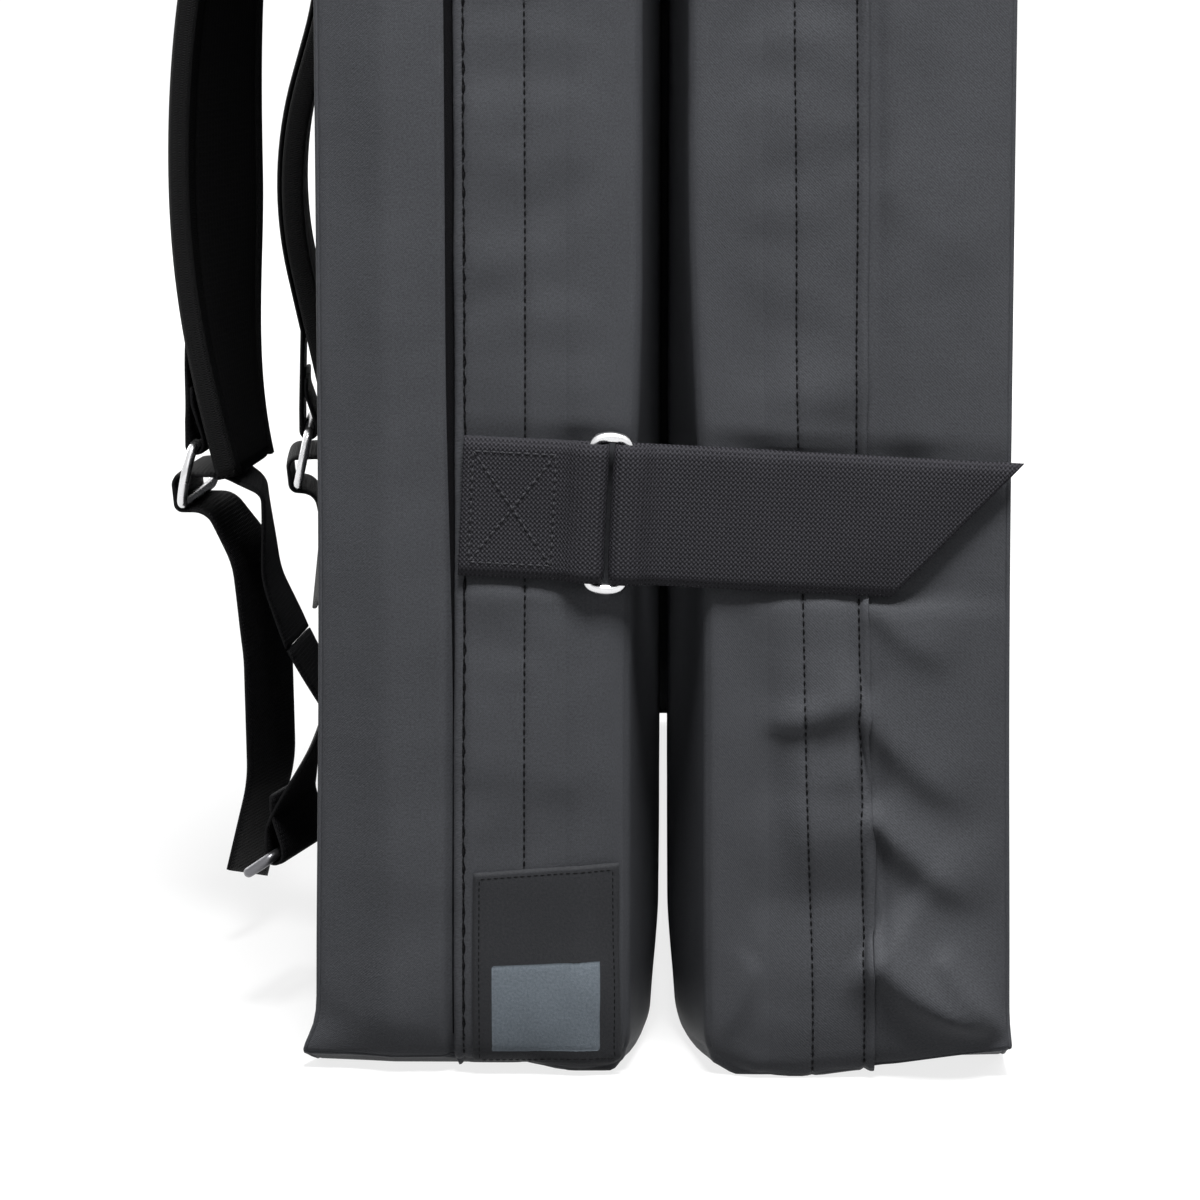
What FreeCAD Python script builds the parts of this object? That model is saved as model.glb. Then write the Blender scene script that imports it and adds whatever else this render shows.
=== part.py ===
"""Folding bouldering crash pad, folded shut and standing on end. Millimetres.

Two foam-filled panels are joined by a fabric hinge down one side (+Y) and held shut on the
other side (-Y) by two webbing straps, each through an oval wire ring. The carry panel holds
the shoulder straps, the waist belt and a haul handle on its outer face (-X).
The origin is the middle of the carry panel's bottom end; +Z is up.
"""

import FreeCAD
import Part
import Sketcher
import math
import os
import re

Vector = FreeCAD.Vector
UP = Vector(0, 0, 1)

SIZES = [
    ("panel_height", 1000, "each panel, standing on end"),
    ("panel_width", 650, "each panel, closing side to hinge side"),
    ("panel_thick", 120, "each panel, landing face to outer face"),
    ("panel_gap", 10, "between the two landing faces when folded"),
    ("corner_round", 10, "radius of a panel's four corners"),
    ("edge_round", 9, "radius round a landing face"),
    ("fabric_thick", 1.2, "coated cover fabric"),
    ("foam_fit", 0.3, "foam to cover"),
    ("foam_bevel", 6, "landing foam's bevelled edge, inside the cover's rounded one"),
    ("landing_foam_thick", 20, "closed-cell sheet under the landing face"),
    ("backing_foam_thick", 10, "closed-cell sheet behind the outer face"),
    ("leaf_show", 50, "leaf left uncovered beside the flap"),
    ("tape_width", 25, "hook tape and loop tape"),
    ("tape_thick", 1, "hook tape and loop tape"),
    ("tape_end_gap", 10, "tape end to the start of the corner"),
    ("hinge_leaf_width", 46, "hinge web sewn to each panel, from its landing face"),
    ("webbing_width", 49.4, "all straps"),
    ("webbing_thick", 2, "all straps"),
    ("sewn_gap", 0.2, "between two sewn layers that are not flat"),
    ("ring_play", 0.3, "webbing loop to the wire in it"),
    ("swing_play", 0.3, "between a fixed strap root and the strap that swings on it"),
    ("ring_wire", 4, "wire of every ring"),
    ("ring_facets", 8, "flats that stand for the round wire"),
    ("bend_facets", 16, "flats that stand for a full turn of a ring's bends"),
    ("ring_straight", 48.6, "straight length of a ring's two long bars"),
    ("ring_spread", 12.5, "between a closure or belt ring's long bars, wire centres"),
    ("ring_corner", 3, "its corner radius, at the wire's centre"),
    ("ring_crown", 14, "its crown radius, at the wire's centre"),
    ("slider_spread", 24, "between a shoulder ring's long bars, wire centres"),
    ("slider_corner", 5, "its corner radius, at the wire's centre"),
    ("slider_crown", 20, "its crown radius, at the wire's centre"),
    ("closure_height", 211, "closure rings, from the nearest panel end"),
    ("closure_tilt", 2.8, "closure strap below level, degrees"),
    ("closure_ring_inset", 15, "closure ring's centre inside the carry landing face"),
    ("closure_anchor_length", 47, "sewn tab of a closure anchor, to the wire it holds"),
    ("closure_sewn_length", 74, "closure strap's lower layer, wire to sewn end"),
    ("closure_tail_length", 142.5, "closure strap's upper layer, wire to tip"),
    ("tail_cut", 50, "length of the slant at a strap's cut end"),
    ("label_width", 53, "label patch"),
    ("label_height", 72, "label patch"),
    ("label_thick", 0.8, "label patch"),
    ("label_side_gap", 6, "label patch to the flap's free edge"),
    ("shoulder_pad_width", 62, "shoulder pads"),
    ("shoulder_pad_thick", 10, "shoulder pads"),
    ("shoulder_spacing", 230, "between the two shoulder straps"),
    ("upper_root_bend", 60, "bend radius where an upper strap root leaves the panel"),
    ("lower_root_bend", 20, "bend radius where a lower strap root leaves the panel"),
    ("near_pivot_out", 22, "near strap's swing axis, from the outer face"),
    ("far_pivot_out", 16, "far strap's swing axis, from the outer face"),
    ("belt_side_inset", 105, "waist belt webs' middles, from the panel's two sides"),
    ("belt_pivot_out", 6, "belt webs' swing axes, from the outer face"),
    ("belt_pivot_height", 112, "belt webs' swing axes"),
    ("belt_sewn_length", 38, "waist belt roots, sewn part"),
    ("belt_root_reach", 10, "from there to the webs' swing axes"),
    ("belt_root_bend", 12, "bend radius where a root leaves the panel"),
    ("belt_ring_out", 22.3, "belt ring's centre, from the outer face"),
    ("belt_ring_height", 60, "belt ring's centre"),
    ("belt_ring_lean", 55, "belt ring's plane from upright, degrees"),
    ("belt_ring_turn", 16, "belt ring's turn about an upright axis, degrees"),
    ("handle_drop", 100, "haul handle's middle, below the panel's top end"),
    ("handle_span", 150, "haul handle, between its sewn ends"),
    ("handle_end", 45, "haul handle, each sewn end"),
    ("handle_rise", 38, "haul handle's grip off the outer face"),
]

doc = FreeCAD.newDocument("CrashPad")
sheet = doc.addObject("Spreadsheet::Sheet", "Sizes")
for row, (alias, value, note) in enumerate(SIZES, start=1):
    sheet.set("A%d" % row, alias)
    sheet.set("B%d" % row, str(value))
    sheet.setAlias("B%d" % row, alias)
    sheet.set("C%d" % row, note)
doc.recompute()

# Depths that several pieces share, written as expressions of the sheet's cells.
HALF_THICK = "panel_thick / 2"
LEAF_DEPTH = "(fabric_thick + 2 * tape_thick)"
FOAM_INSET = "(2 * fabric_thick + 2 * tape_thick + foam_fit)"
FLAP_EDGE = "(leaf_show - panel_thick / 2)"

# How finely the limp straps are sampled.
STEP_LENGTH = 34
STEP_ANGLE = 24

nodes = []
worked_out = {}
workings = doc.addObject("Spreadsheet::Sheet", "Workings")


def bound(expression):
    """The same expression with each cell's alias pointing at the sheet."""
    return re.sub(r"\b([a-z]+(?:_[a-z]+)+)\b", r"Sizes.\1", expression)


def number(expression):
    """The value of an expression of the sheet's cells, worked out in a scratch sheet."""
    if expression not in worked_out:
        workings.set("A1", "=" + bound(expression))
        workings.recompute()
        worked_out[expression] = float(workings.get("A1"))
    return worked_out[expression]


# --- PartDesign helpers -----------------------------------------------------------------


def new_body(label):
    body = doc.addObject("PartDesign::Body", label)
    body.Label = label
    nodes.append(body)
    return body


def new_sketch(body, name, role, lift="0"):
    """A sketch on one of the body's own origin planes, lifted along the plane's normal."""
    sketch = body.newObject("Sketcher::SketchObject", name)
    plane = next(item for item in body.Origin.OriginFeatures if item.Role == role)
    sketch.AttachmentSupport = [(plane, "")]
    sketch.MapMode = "FlatFace"
    sketch.setExpression("AttachmentOffset.Base.z", bound(lift))
    return sketch


def dimension(sketch, name, constraint, expression):
    index = sketch.addConstraint(constraint)
    sketch.renameConstraint(index, name)
    sketch.setExpression("Constraints." + name, bound(expression))


def rectangle(sketch, left, right, bottom, top):
    """A rectangle whose four sides are placed from the sketch's origin."""
    a, b, c, d = (number(side) for side in (left, right, bottom, top))
    corners = [Vector(a, c), Vector(b, c), Vector(b, d), Vector(a, d)]
    lines = [
        sketch.addGeometry(Part.LineSegment(corners[i], corners[(i + 1) % 4])) for i in range(4)
    ]
    for i in range(4):
        sketch.addConstraint(Sketcher.Constraint("Coincident", lines[i], 2, lines[(i + 1) % 4], 1))
    for i in (0, 2):
        sketch.addConstraint(Sketcher.Constraint("Horizontal", lines[i]))
        sketch.addConstraint(Sketcher.Constraint("Vertical", lines[i + 1]))
    prefix = "r%d" % lines[0]
    place_side(sketch, prefix + "left", "DistanceX", lines[0], 1, left)
    place_side(sketch, prefix + "bottom", "DistanceY", lines[0], 1, bottom)
    place_side(sketch, prefix + "right", "DistanceX", lines[2], 1, right)
    place_side(sketch, prefix + "top", "DistanceY", lines[2], 1, top)


def place_side(sketch, name, kind, line, end, expression):
    dimension(sketch, name, Sketcher.Constraint(kind, -1, 1, line, end, number(expression)), expression)


def rounded_rectangle(sketch, inset, radius):
    """The panel's outline, drawn in by an inset, on a sketch centred on the panel."""
    half_y = number("panel_width / 2 - %s - (%s)" % (inset, radius))
    half_z = number("panel_height / 2 - %s - (%s)" % (inset, radius))
    r = number(radius)
    centres = [(half_y, -half_z), (half_y, half_z), (-half_y, half_z), (-half_y, -half_z)]
    arcs = []
    lines = []
    for i, (y, z) in enumerate(centres):
        start = math.radians(-90 + 90 * i)
        circle = Part.Circle(Vector(y, z), UP, r)
        arcs.append(sketch.addGeometry(Part.ArcOfCircle(circle, start, start + math.pi / 2)))
    for i, (y, z) in enumerate(centres):
        out = Vector(math.cos(math.pi / 2 * i), math.sin(math.pi / 2 * i)) * r
        ahead = centres[(i + 1) % 4]
        lines.append(sketch.addGeometry(Part.LineSegment(Vector(y, z) + out, Vector(*ahead) + out)))
    for i in range(4):
        sketch.addConstraint(Sketcher.Constraint("Tangent", arcs[i], 2, lines[i], 1))
        sketch.addConstraint(Sketcher.Constraint("Tangent", lines[i], 2, arcs[(i + 1) % 4], 1))
    for i in (0, 2):
        sketch.addConstraint(Sketcher.Constraint("Vertical", lines[i]))
        sketch.addConstraint(Sketcher.Constraint("Horizontal", lines[i + 1]))
    for arc in arcs[1:]:
        sketch.addConstraint(Sketcher.Constraint("Equal", arcs[0], arc))
    prefix = "p%d" % arcs[0]
    dimension(sketch, prefix + "radius", Sketcher.Constraint("Radius", arcs[0], r), radius)
    place_side(sketch, prefix + "right", "DistanceX", arcs[1], 3,
               "panel_width / 2 - %s - (%s)" % (inset, radius))
    place_side(sketch, prefix + "top", "DistanceY", arcs[1], 3,
               "panel_height / 2 - %s - (%s)" % (inset, radius))
    sketch.addConstraint(Sketcher.Constraint("Symmetric", arcs[1], 3, arcs[3], 3, -1, 1))


def panel_sketch(body, name, lift):
    """A sketch across the panel, centred on it, facing +X."""
    sketch = new_sketch(body, name, "YZ_Plane", lift)
    sketch.setExpression("AttachmentOffset.Base.y", bound("panel_height / 2"))
    return sketch


def pad(body, sketch, length, both_ways=False):
    feature = body.newObject("PartDesign::Pad", "Pad_" + sketch.Name)
    feature.Profile = sketch
    if both_ways:
        feature.Midplane = True
    feature.setExpression("Length", bound(length))
    sketch.Visibility = False
    doc.recompute()
    return feature


def pocket(body, sketch, both_ways=False, reverse=False, depth=None):
    """A pocket, through all the body unless it has a depth, which must take some away."""
    before = body.Shape.Volume
    feature = body.newObject("PartDesign::Pocket", "Pocket_" + sketch.Name)
    feature.Profile = sketch
    if depth is None:
        feature.Type = "ThroughAll"
    else:
        feature.setExpression("Length", bound(depth))
    if both_ways:
        feature.Midplane = True
    feature.Reversed = reverse
    sketch.Visibility = False
    doc.recompute()
    if not body.Shape.Volume < before - 1e-3:
        raise RuntimeError(body.Label + ": a pocket cut nothing")
    return feature


def fillet(body, base, radius, wanted):
    """Round the edges of the base feature that the test picks."""
    names = ["Edge%d" % i for i, edge in enumerate(base.Shape.Edges, start=1) if wanted(edge)]
    feature = body.newObject("PartDesign::Fillet", "Fillet_" + base.Name)
    feature.Base = (base, names)
    feature.setExpression("Radius", bound(radius))
    doc.recompute()
    return feature


def chamfer(body, base, size, wanted):
    """Bevel the edges of the base feature that the test picks."""
    names = ["Edge%d" % i for i, edge in enumerate(base.Shape.Edges, start=1) if wanted(edge)]
    feature = body.newObject("PartDesign::Chamfer", "Chamfer_" + base.Name)
    feature.Base = (base, names)
    feature.setExpression("Size", bound(size))
    doc.recompute()
    return feature


def on_plane_x(edge, x):
    box = edge.BoundBox
    return abs(box.XMin - x) < 1e-4 and abs(box.XMax - x) < 1e-4


def turn_to_outer(item):
    """Place a piece drawn for the carry panel on the outer panel, landing face inward."""
    item.Placement = FreeCAD.Placement(Vector(), FreeCAD.Rotation(Vector(0, 1, 0), 180))
    item.setExpression("Placement.Base.x", bound("panel_thick + panel_gap"))
    item.setExpression("Placement.Base.z", bound("panel_height"))


# --- The two panels ---------------------------------------------------------------------


def cover_tray(side):
    """Landing face, gusset and closing flap: one shell, open towards the outer face."""
    body = new_body(side + "_cover_tray")
    back = "fabric_thick - " + HALF_THICK
    outline = panel_sketch(body, side + "TrayOutline", back)
    rounded_rectangle(outline, "0", "corner_round")
    pad(body, outline, "panel_thick - fabric_thick")
    inside = panel_sketch(body, side + "TrayInside", back)
    rounded_rectangle(inside, "fabric_thick", "(corner_round - fabric_thick)")
    hollow = pocket(body, inside, reverse=True, depth="panel_thick - 2 * fabric_thick")
    floor_x = number(HALF_THICK + " - fabric_thick")
    lined = fillet(body, hollow, "edge_round - fabric_thick", lambda edge: on_plane_x(edge, floor_x))
    front_x = number(HALF_THICK)
    fillet(body, lined, "edge_round", lambda edge: on_plane_x(edge, front_x))
    opening = new_sketch(body, side + "TrayOpening", "XY_Plane")
    rectangle(opening, "-panel_thick", FLAP_EDGE, "-panel_width", "corner_round - panel_width / 2")
    pocket(body, opening, reverse=True)
    return body


def cover_face(side):
    """Outer sheet, with the leaf that passes under the tray's flap on the closing side."""
    body = new_body(side + "_cover_face")
    outline = panel_sketch(body, side + "FaceOutline", "-" + HALF_THICK)
    rounded_rectangle(outline, "0", "corner_round")
    pad(body, outline, "fabric_thick")
    leaf = panel_sketch(body, side + "LeafOutline", "fabric_thick - " + HALF_THICK)
    rounded_rectangle(leaf, LEAF_DEPTH, "(corner_round - %s)" % LEAF_DEPTH)
    inner = "(%s + fabric_thick)" % LEAF_DEPTH
    rounded_rectangle(leaf, inner, "(corner_round - %s)" % inner)
    pad(body, leaf, "%s + tape_width + %s - fabric_thick" % (FLAP_EDGE, HALF_THICK))
    trim = new_sketch(body, side + "LeafTrim", "XY_Plane")
    rectangle(trim, "fabric_thick - " + HALF_THICK, "panel_thick",
              "corner_round - panel_width / 2", "panel_width")
    pocket(body, trim, reverse=True)
    return body


def closing_tape(side, kind, layer):
    """Hook or loop tape in the lap on the closing side; layer 0 lies on the leaf."""
    body = new_body("%s_%s_tape" % (side, kind))
    skin = "(panel_width / 2 - %s + %d * tape_thick)" % (LEAF_DEPTH, layer)
    outline = new_sketch(body, side + kind + "Outline", "XZ_Plane", skin)
    end = "corner_round + tape_end_gap"
    rectangle(outline, FLAP_EDGE, FLAP_EDGE + " + tape_width", end, "panel_height - (%s)" % end)
    pad(body, outline, "tape_thick")
    return body


def foam_sheet(side, layer, start, thick, soft_edge):
    """One sheet of the foam stack, from start (measured from the outer face) inward."""
    body = new_body("%s_%s_foam" % (side, layer))
    outline = panel_sketch(body, side + layer + "Outline", "%s - %s" % (start, HALF_THICK))
    rounded_rectangle(outline, FOAM_INSET, "corner_round")
    block = pad(body, outline, thick)
    if soft_edge:
        front_x = number("%s - %s + %s" % (start, HALF_THICK, thick))
        chamfer(body, block, "foam_bevel", lambda edge: on_plane_x(edge, front_x))
    return body


def panel(side):
    """The seven pieces of one panel, drawn for the carry panel."""
    backing_end = "(fabric_thick + foam_fit + backing_foam_thick)"
    landing_start = "(panel_thick - fabric_thick - foam_fit - landing_foam_thick)"
    core_thick = "%s - %s" % (landing_start, backing_end)
    return [
        cover_tray(side),
        cover_face(side),
        closing_tape(side, "hook", 0),
        closing_tape(side, "loop", 1),
        foam_sheet(side, "landing", landing_start, "landing_foam_thick", True),
        foam_sheet(side, "core", backing_end, core_thick, False),
        foam_sheet(side, "backing", "(fabric_thick + foam_fit)", "backing_foam_thick", False),
    ]


def hinge_web():
    """One strip of fabric, sewn down the hinge side of both panels."""
    body = new_body("hinge_web")
    outline = new_sketch(body, "HingeOutline", "XZ_Plane", "-panel_width / 2")
    rectangle(outline, HALF_THICK + " - hinge_leaf_width",
              HALF_THICK + " + panel_gap + hinge_leaf_width",
              "corner_round", "panel_height - corner_round")
    strip = pad(body, outline, "fabric_thick")
    strip.Reversed = True
    return body


def label_patch():
    """Plain sewn patch on the flap, just above the carry panel's bottom corner."""
    body = new_body("label_patch")
    outline = new_sketch(body, "LabelOutline", "XZ_Plane", "panel_width / 2")
    left = FLAP_EDGE + " + label_side_gap"
    rectangle(outline, left, left + " + label_width", "corner_round", "corner_round + label_height")
    pad(body, outline, "label_thick")
    return body


# --- Bands of webbing that lie in one plane ---------------------------------------------


def route_pieces(points):
    """Straight runs and the tangent arcs between them, from (x, y, corner radius) points."""
    flat = [Vector(x, y) for x, y, _ in points]
    starts = [flat[0]]
    pieces = []
    for i in range(1, len(flat) - 1):
        back = (flat[i - 1] - flat[i]).normalize()
        ahead = (flat[i + 1] - flat[i]).normalize()
        half = back.getAngle(ahead) / 2
        radius = points[i][2]
        reach = radius / math.tan(half)
        centre = flat[i] + (back + ahead).normalize() * (radius / math.sin(half))
        turn = math.pi - 2 * half
        if back.cross(ahead).z > 0:
            turn = -turn
        pieces.append(("line", starts[-1], flat[i] + back * reach))
        pieces.append(("arc", flat[i] + back * reach, centre, turn))
        starts.append(flat[i] + ahead * reach)
    pieces.append(("line", starts[-1], flat[-1]))
    return [p for p in pieces if p[0] == "arc" or p[1].distanceToPoint(p[2]) > 1e-6]


def shifted(piece, side):
    """One run or arc moved sideways, to the left when side is positive.

    Gives the curve, and its two ends in the order of the route.
    """
    if piece[0] == "line":
        along = (piece[2] - piece[1]).normalize()
        across = Vector(-along.y, along.x) * side
        curve = Part.LineSegment(piece[1] + across, piece[2] + across)
        return curve, (curve.StartPoint, curve.EndPoint)
    _, start, centre, turn = piece
    spoke = start - centre
    radius = spoke.Length - side if turn > 0 else spoke.Length + side
    angle = math.atan2(spoke.y, spoke.x)
    low, high = sorted((angle, angle + turn))
    curve = Part.ArcOfCircle(Part.Circle(centre, UP, radius), low, high)
    if turn > 0:
        return curve, (curve.StartPoint, curve.EndPoint)
    return curve, (curve.EndPoint, curve.StartPoint)


def draw_band(sketch, points, thick):
    """Close a band of even thickness round a route."""
    pieces = route_pieces(points)
    left, right = ([shifted(piece, side) for piece in pieces] for side in (thick / 2, -thick / 2))
    for curve, _ in left + right:
        sketch.addGeometry(curve)
    for index in (0, -1):
        sketch.addGeometry(Part.LineSegment(left[index][1][index], right[index][1][index]))


def flat_band(label, points, width, plane="XY_Plane"):
    """A band of webbing: its edge-on route drawn on a plane and padded both ways."""
    body = new_body(label)
    sketch = new_sketch(body, label + "Route", plane)
    draw_band(sketch, points, number("webbing_thick"))
    pad(body, sketch, width, both_ways=True)
    return body


# --- Wire rings -------------------------------------------------------------------------


def wire_ring(label, spread, corner, crown):
    """Oval ring of round wire: two long bars, soft corners and crowned ends.

    Drawn in the XZ plane round the origin, with its long bars along Z. The bends are drawn
    as short flats with mitred joints, as the wire's section is.
    """
    body = new_body(label)
    half = number(spread) / 2
    bar = number("ring_straight") / 2
    small = number(corner)
    large = number(crown)
    crown_z = bar - math.sqrt((large - small) ** 2 - (half - small) ** 2)
    lean = math.atan2(bar - crown_z, half - small)
    bends = [
        (Vector(half - small, bar), small, 0, lean),
        (Vector(0, crown_z), large, lean, math.pi - lean),
        (Vector(small - half, bar), small, math.pi - lean, math.pi),
    ]
    corners = []
    for centre, radius, low, high in bends:
        corners.extend(tangent_corners(centre, radius, low, high))
    corners += [corner * -1 for corner in corners]
    path = new_sketch(body, label + "Path", "XZ_Plane")
    stops = [Vector(half, 0)] + corners
    for start, end in zip(stops, stops[1:] + stops[:1]):
        path.addGeometry(Part.LineSegment(start, end))
    section = new_sketch(body, label + "Wire", "XY_Plane")
    round_section(section, spread + " / 2", "ring_wire")
    doc.recompute()
    pipe = body.newObject("PartDesign::AdditivePipe", label + "Pipe")
    pipe.Profile = section
    pipe.Spine = (path, ["Edge%d" % i for i in range(1, len(path.Shape.Edges) + 1)])
    pipe.Transition = "Right corner"
    doc.recompute()
    return body


def tangent_corners(centre, radius, low, high):
    """Corners of the flats that stand for an arc and touch it, between its two angles."""
    count = max(2, math.ceil((high - low) / (2 * math.pi / number("bend_facets"))))
    step = (high - low) / count
    reach = radius / math.cos(step / 2)
    angles = [low + step * (i + 0.5) for i in range(count)]
    return [centre + Vector(math.cos(angle), math.sin(angle)) * reach for angle in angles]


def round_section(sketch, place, size):
    """A wire's section, drawn as a regular polygon of the wire's size across its corners."""
    sides = int(number("ring_facets"))
    centre = Vector(number(place), 0)
    reach = number(size) / 2
    corners = []
    for i in range(sides):
        angle = 2 * math.pi * (i + 0.5) / sides
        corners.append(centre + Vector(math.cos(angle), math.sin(angle)) * reach)
    for i in range(sides):
        sketch.addGeometry(Part.LineSegment(corners[i], corners[(i + 1) % sides]))
    for i in range(sides):
        sketch.addConstraint(Sketcher.Constraint("Coincident", i, 2, (i + 1) % sides, 1))
    round_it = sketch.addGeometry(Part.Circle(centre, UP, reach), True)
    for i in range(sides):
        sketch.addConstraint(Sketcher.Constraint("PointOnObject", i, 1, round_it))
    for i in range(1, sides):
        sketch.addConstraint(Sketcher.Constraint("Equal", 0, i))
    sketch.addConstraint(Sketcher.Constraint("Vertical", sides - 1))
    place_side(sketch, "wireplace", "DistanceX", round_it, 3, place)
    sketch.addConstraint(Sketcher.Constraint("PointOnObject", round_it, 3, -1))
    dimension(sketch, "wiresize", Sketcher.Constraint("Diameter", round_it, 2 * reach), size)


# --- Closure ----------------------------------------------------------------------------


def closure_set(level, height):
    """Anchor tab, ring and strap on the closing side, tilted together about the ring."""
    half = number("webbing_thick") / 2
    bend = number("ring_wire / 2 + ring_play") + half
    skin = -half
    axis = skin - bend
    over = axis - bend
    bar = number("ring_spread / 2")
    second = skin - 2 * half
    ease = 3 * bend
    tab_end = -bar - number("closure_anchor_length")
    tab = [
        (tab_end, skin, 0),
        (-bar + bend, skin, bend),
        (-bar + bend, over, bend),
        (-bar - ease / 3, over, ease),
        (-bar - ease, second, ease),
        (tab_end, second, 0),
    ]
    sewn_end = bar + number("closure_sewn_length")
    tip = bar + number("closure_tail_length")
    strap = [
        (sewn_end, skin, 0),
        (bar - bend, skin, bend),
        (bar - bend, over, bend),
        (bar + ease / 3, over, ease),
        (bar + ease, second, ease),
        (tip, second, 0),
    ]
    anchor = flat_band("closure_anchor_" + level, tab, "webbing_width")
    ring = wire_ring("closure_ring_" + level, "ring_spread", "ring_corner", "ring_crown")
    web = flat_band("closure_strap_" + level, strap, "webbing_width")
    cut_tail(web, level, tip)
    tilt = FreeCAD.Rotation(Vector(0, 1, 0), number("closure_tilt"))
    for item, y in ((anchor, "-panel_width / 2"), (web, "-panel_width / 2")):
        item.Placement = FreeCAD.Placement(Vector(), tilt)
        item.setExpression("Placement.Base.y", bound(y))
    ring.Placement = FreeCAD.Placement(Vector(), tilt)
    ring.setExpression(
        "Placement.Base.y",
        bound("-panel_width / 2 - webbing_thick - ring_wire / 2 - ring_play"),
    )
    for item in (anchor, ring, web):
        item.setExpression("Placement.Base.x", bound("panel_thick / 2 - closure_ring_inset"))
        item.setExpression("Placement.Base.z", bound(height))


def cut_tail(web, level, tip):
    """Slant the free end, long edge on top."""
    half = number("webbing_width") / 2
    sketch = new_sketch(web, "TailCut" + level, "XZ_Plane")
    corners = [
        Vector(tip - number("tail_cut"), -half - 1),
        Vector(tip + 1, -half - 1),
        Vector(tip + 1, half + 1),
        Vector(tip, half + 1),
    ]
    for i in range(4):
        sketch.addGeometry(Part.LineSegment(corners[i], corners[(i + 1) % 4]))
    pocket(web, sketch, both_ways=True)


# --- Limp straps that hang off the outer face -------------------------------------------
# Each is a ribbon lofted through upright rectangles. A point of its route is (out, height,
# corner radius, turn): out is the distance from the outer face, and turn is how far the
# ribbon has turned about its swing axis there, in degrees.


class Strap:
    """Where one strap stands: its place along the panel and its swing axis."""

    def __init__(self, place_y, pivot_out, inward):
        self.place_y = place_y
        self.pivot_out = pivot_out
        self.inward = inward

    def directions(self, turn):
        """Outward and crosswise directions after the ribbon has turned."""
        angle = math.radians(turn) * self.inward
        outward = Vector(-math.cos(angle), math.sin(angle), 0)
        across = Vector(math.sin(angle), math.cos(angle), 0)
        return outward, across

    def point(self, out, height, turn):
        axis = Vector(-number(HALF_THICK) - self.pivot_out, self.place_y, height)
        return axis + self.directions(turn)[0] * (out - self.pivot_out)


def route_stations(points):
    """Sample a route: (out, height, direction, turn) at even steps of each run and arc."""
    pieces = route_pieces([point[:3] for point in points])
    corners = [point[3] for point in points]
    stations = []
    for index, piece in enumerate(pieces):
        if piece[0] == "line":
            along = piece[2] - piece[1]
            steps = max(1, int(along.Length / STEP_LENGTH))
            places = [(piece[1] + along * (i / steps), along) for i in range(steps + 1)]
        else:
            _, start, centre, turn = piece
            spoke = start - centre
            steps = max(2, math.ceil(abs(math.degrees(turn)) / STEP_ANGLE))
            steps = max(steps, int(spoke.Length * abs(turn) / STEP_LENGTH))
            places = []
            for i in range(steps + 1):
                swing = turn * i / steps
                arm = Vector(
                    spoke.x * math.cos(swing) - spoke.y * math.sin(swing),
                    spoke.x * math.sin(swing) + spoke.y * math.cos(swing),
                )
                heading = Vector(-arm.y, arm.x) * (1 if turn > 0 else -1)
                places.append((centre + arm, heading))
        if stations:
            places = places[1:]
        stations.extend((place, Vector(heading).normalize()) for place, heading in places)
    lengths = [0.0]
    for (a, _), (b, _) in zip(stations, stations[1:]):
        lengths.append(lengths[-1] + a.distanceToPoint(b))
    marks = corner_marks(points, stations, lengths)
    turns = [between(length, marks, corners) for length in lengths]
    return [(p.x, p.y, d, t) for (p, d), t in zip(stations, turns)]


def corner_marks(points, stations, lengths):
    """How far along the route it passes closest to each of its points."""
    marks = []
    for x, y, _, _ in points:
        nearest = min(
            range(len(stations)), key=lambda i: stations[i][0].distanceToPoint(Vector(x, y))
        )
        marks.append(lengths[nearest])
    return marks


def between(length, marks, values):
    """Read a value between marks, easing in and out."""
    for i in range(len(marks) - 1):
        if length <= marks[i + 1]:
            share = (length - marks[i]) / max(marks[i + 1] - marks[i], 1e-9)
            share = min(max(share, 0.0), 1.0)
            return values[i] + (values[i + 1] - values[i]) * share * share * (3 - 2 * share)
    return values[-1]


def ribbon(label, strap, stations, width, thick, level_start=False, level_end=False, slant=0.0):
    """Loft a ribbon through its stations.

    A level end is cut on a horizontal plane, so that it can turn about an upright axis
    beside the piece that it meets. Slant cuts the last end askew by that length.
    """
    sections = []
    last = len(stations) - 1
    for index, (out, height, heading, turn) in enumerate(stations):
        outward, across = strap.directions(turn)
        facing = outward * -heading.y + UP * heading.x
        if facing.dot(outward) < 0:
            facing = facing * -1
        grow = 1.0
        centre = strap.point(out, height, turn)
        if (index == 0 and level_start) or (index == last and level_end):
            grow = 1.0 / max(abs(heading.y), 0.2)
            facing = Vector(outward)
        reach = facing * (thick / 2 * grow)
        wide = across * (width / 2)
        skew = Vector()
        if index == last and slant:
            skew = (outward * heading.x + UP * heading.y) * (slant / 2)
        corners = [
            centre - wide - reach - skew,
            centre + wide - reach + skew,
            centre + wide + reach + skew,
            centre - wide + reach - skew,
        ]
        sections.append(Part.makePolygon(corners + corners[:1]))
    shape = Part.makeLoft(sections, True, True)
    if shape.Volume < 0:
        shape = shape.reversed()
    item = doc.addObject("Part::Feature", label)
    item.Label = label
    item.Shape = shape
    item.Placement = FreeCAD.Placement()
    nodes.append(item)
    return item


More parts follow.
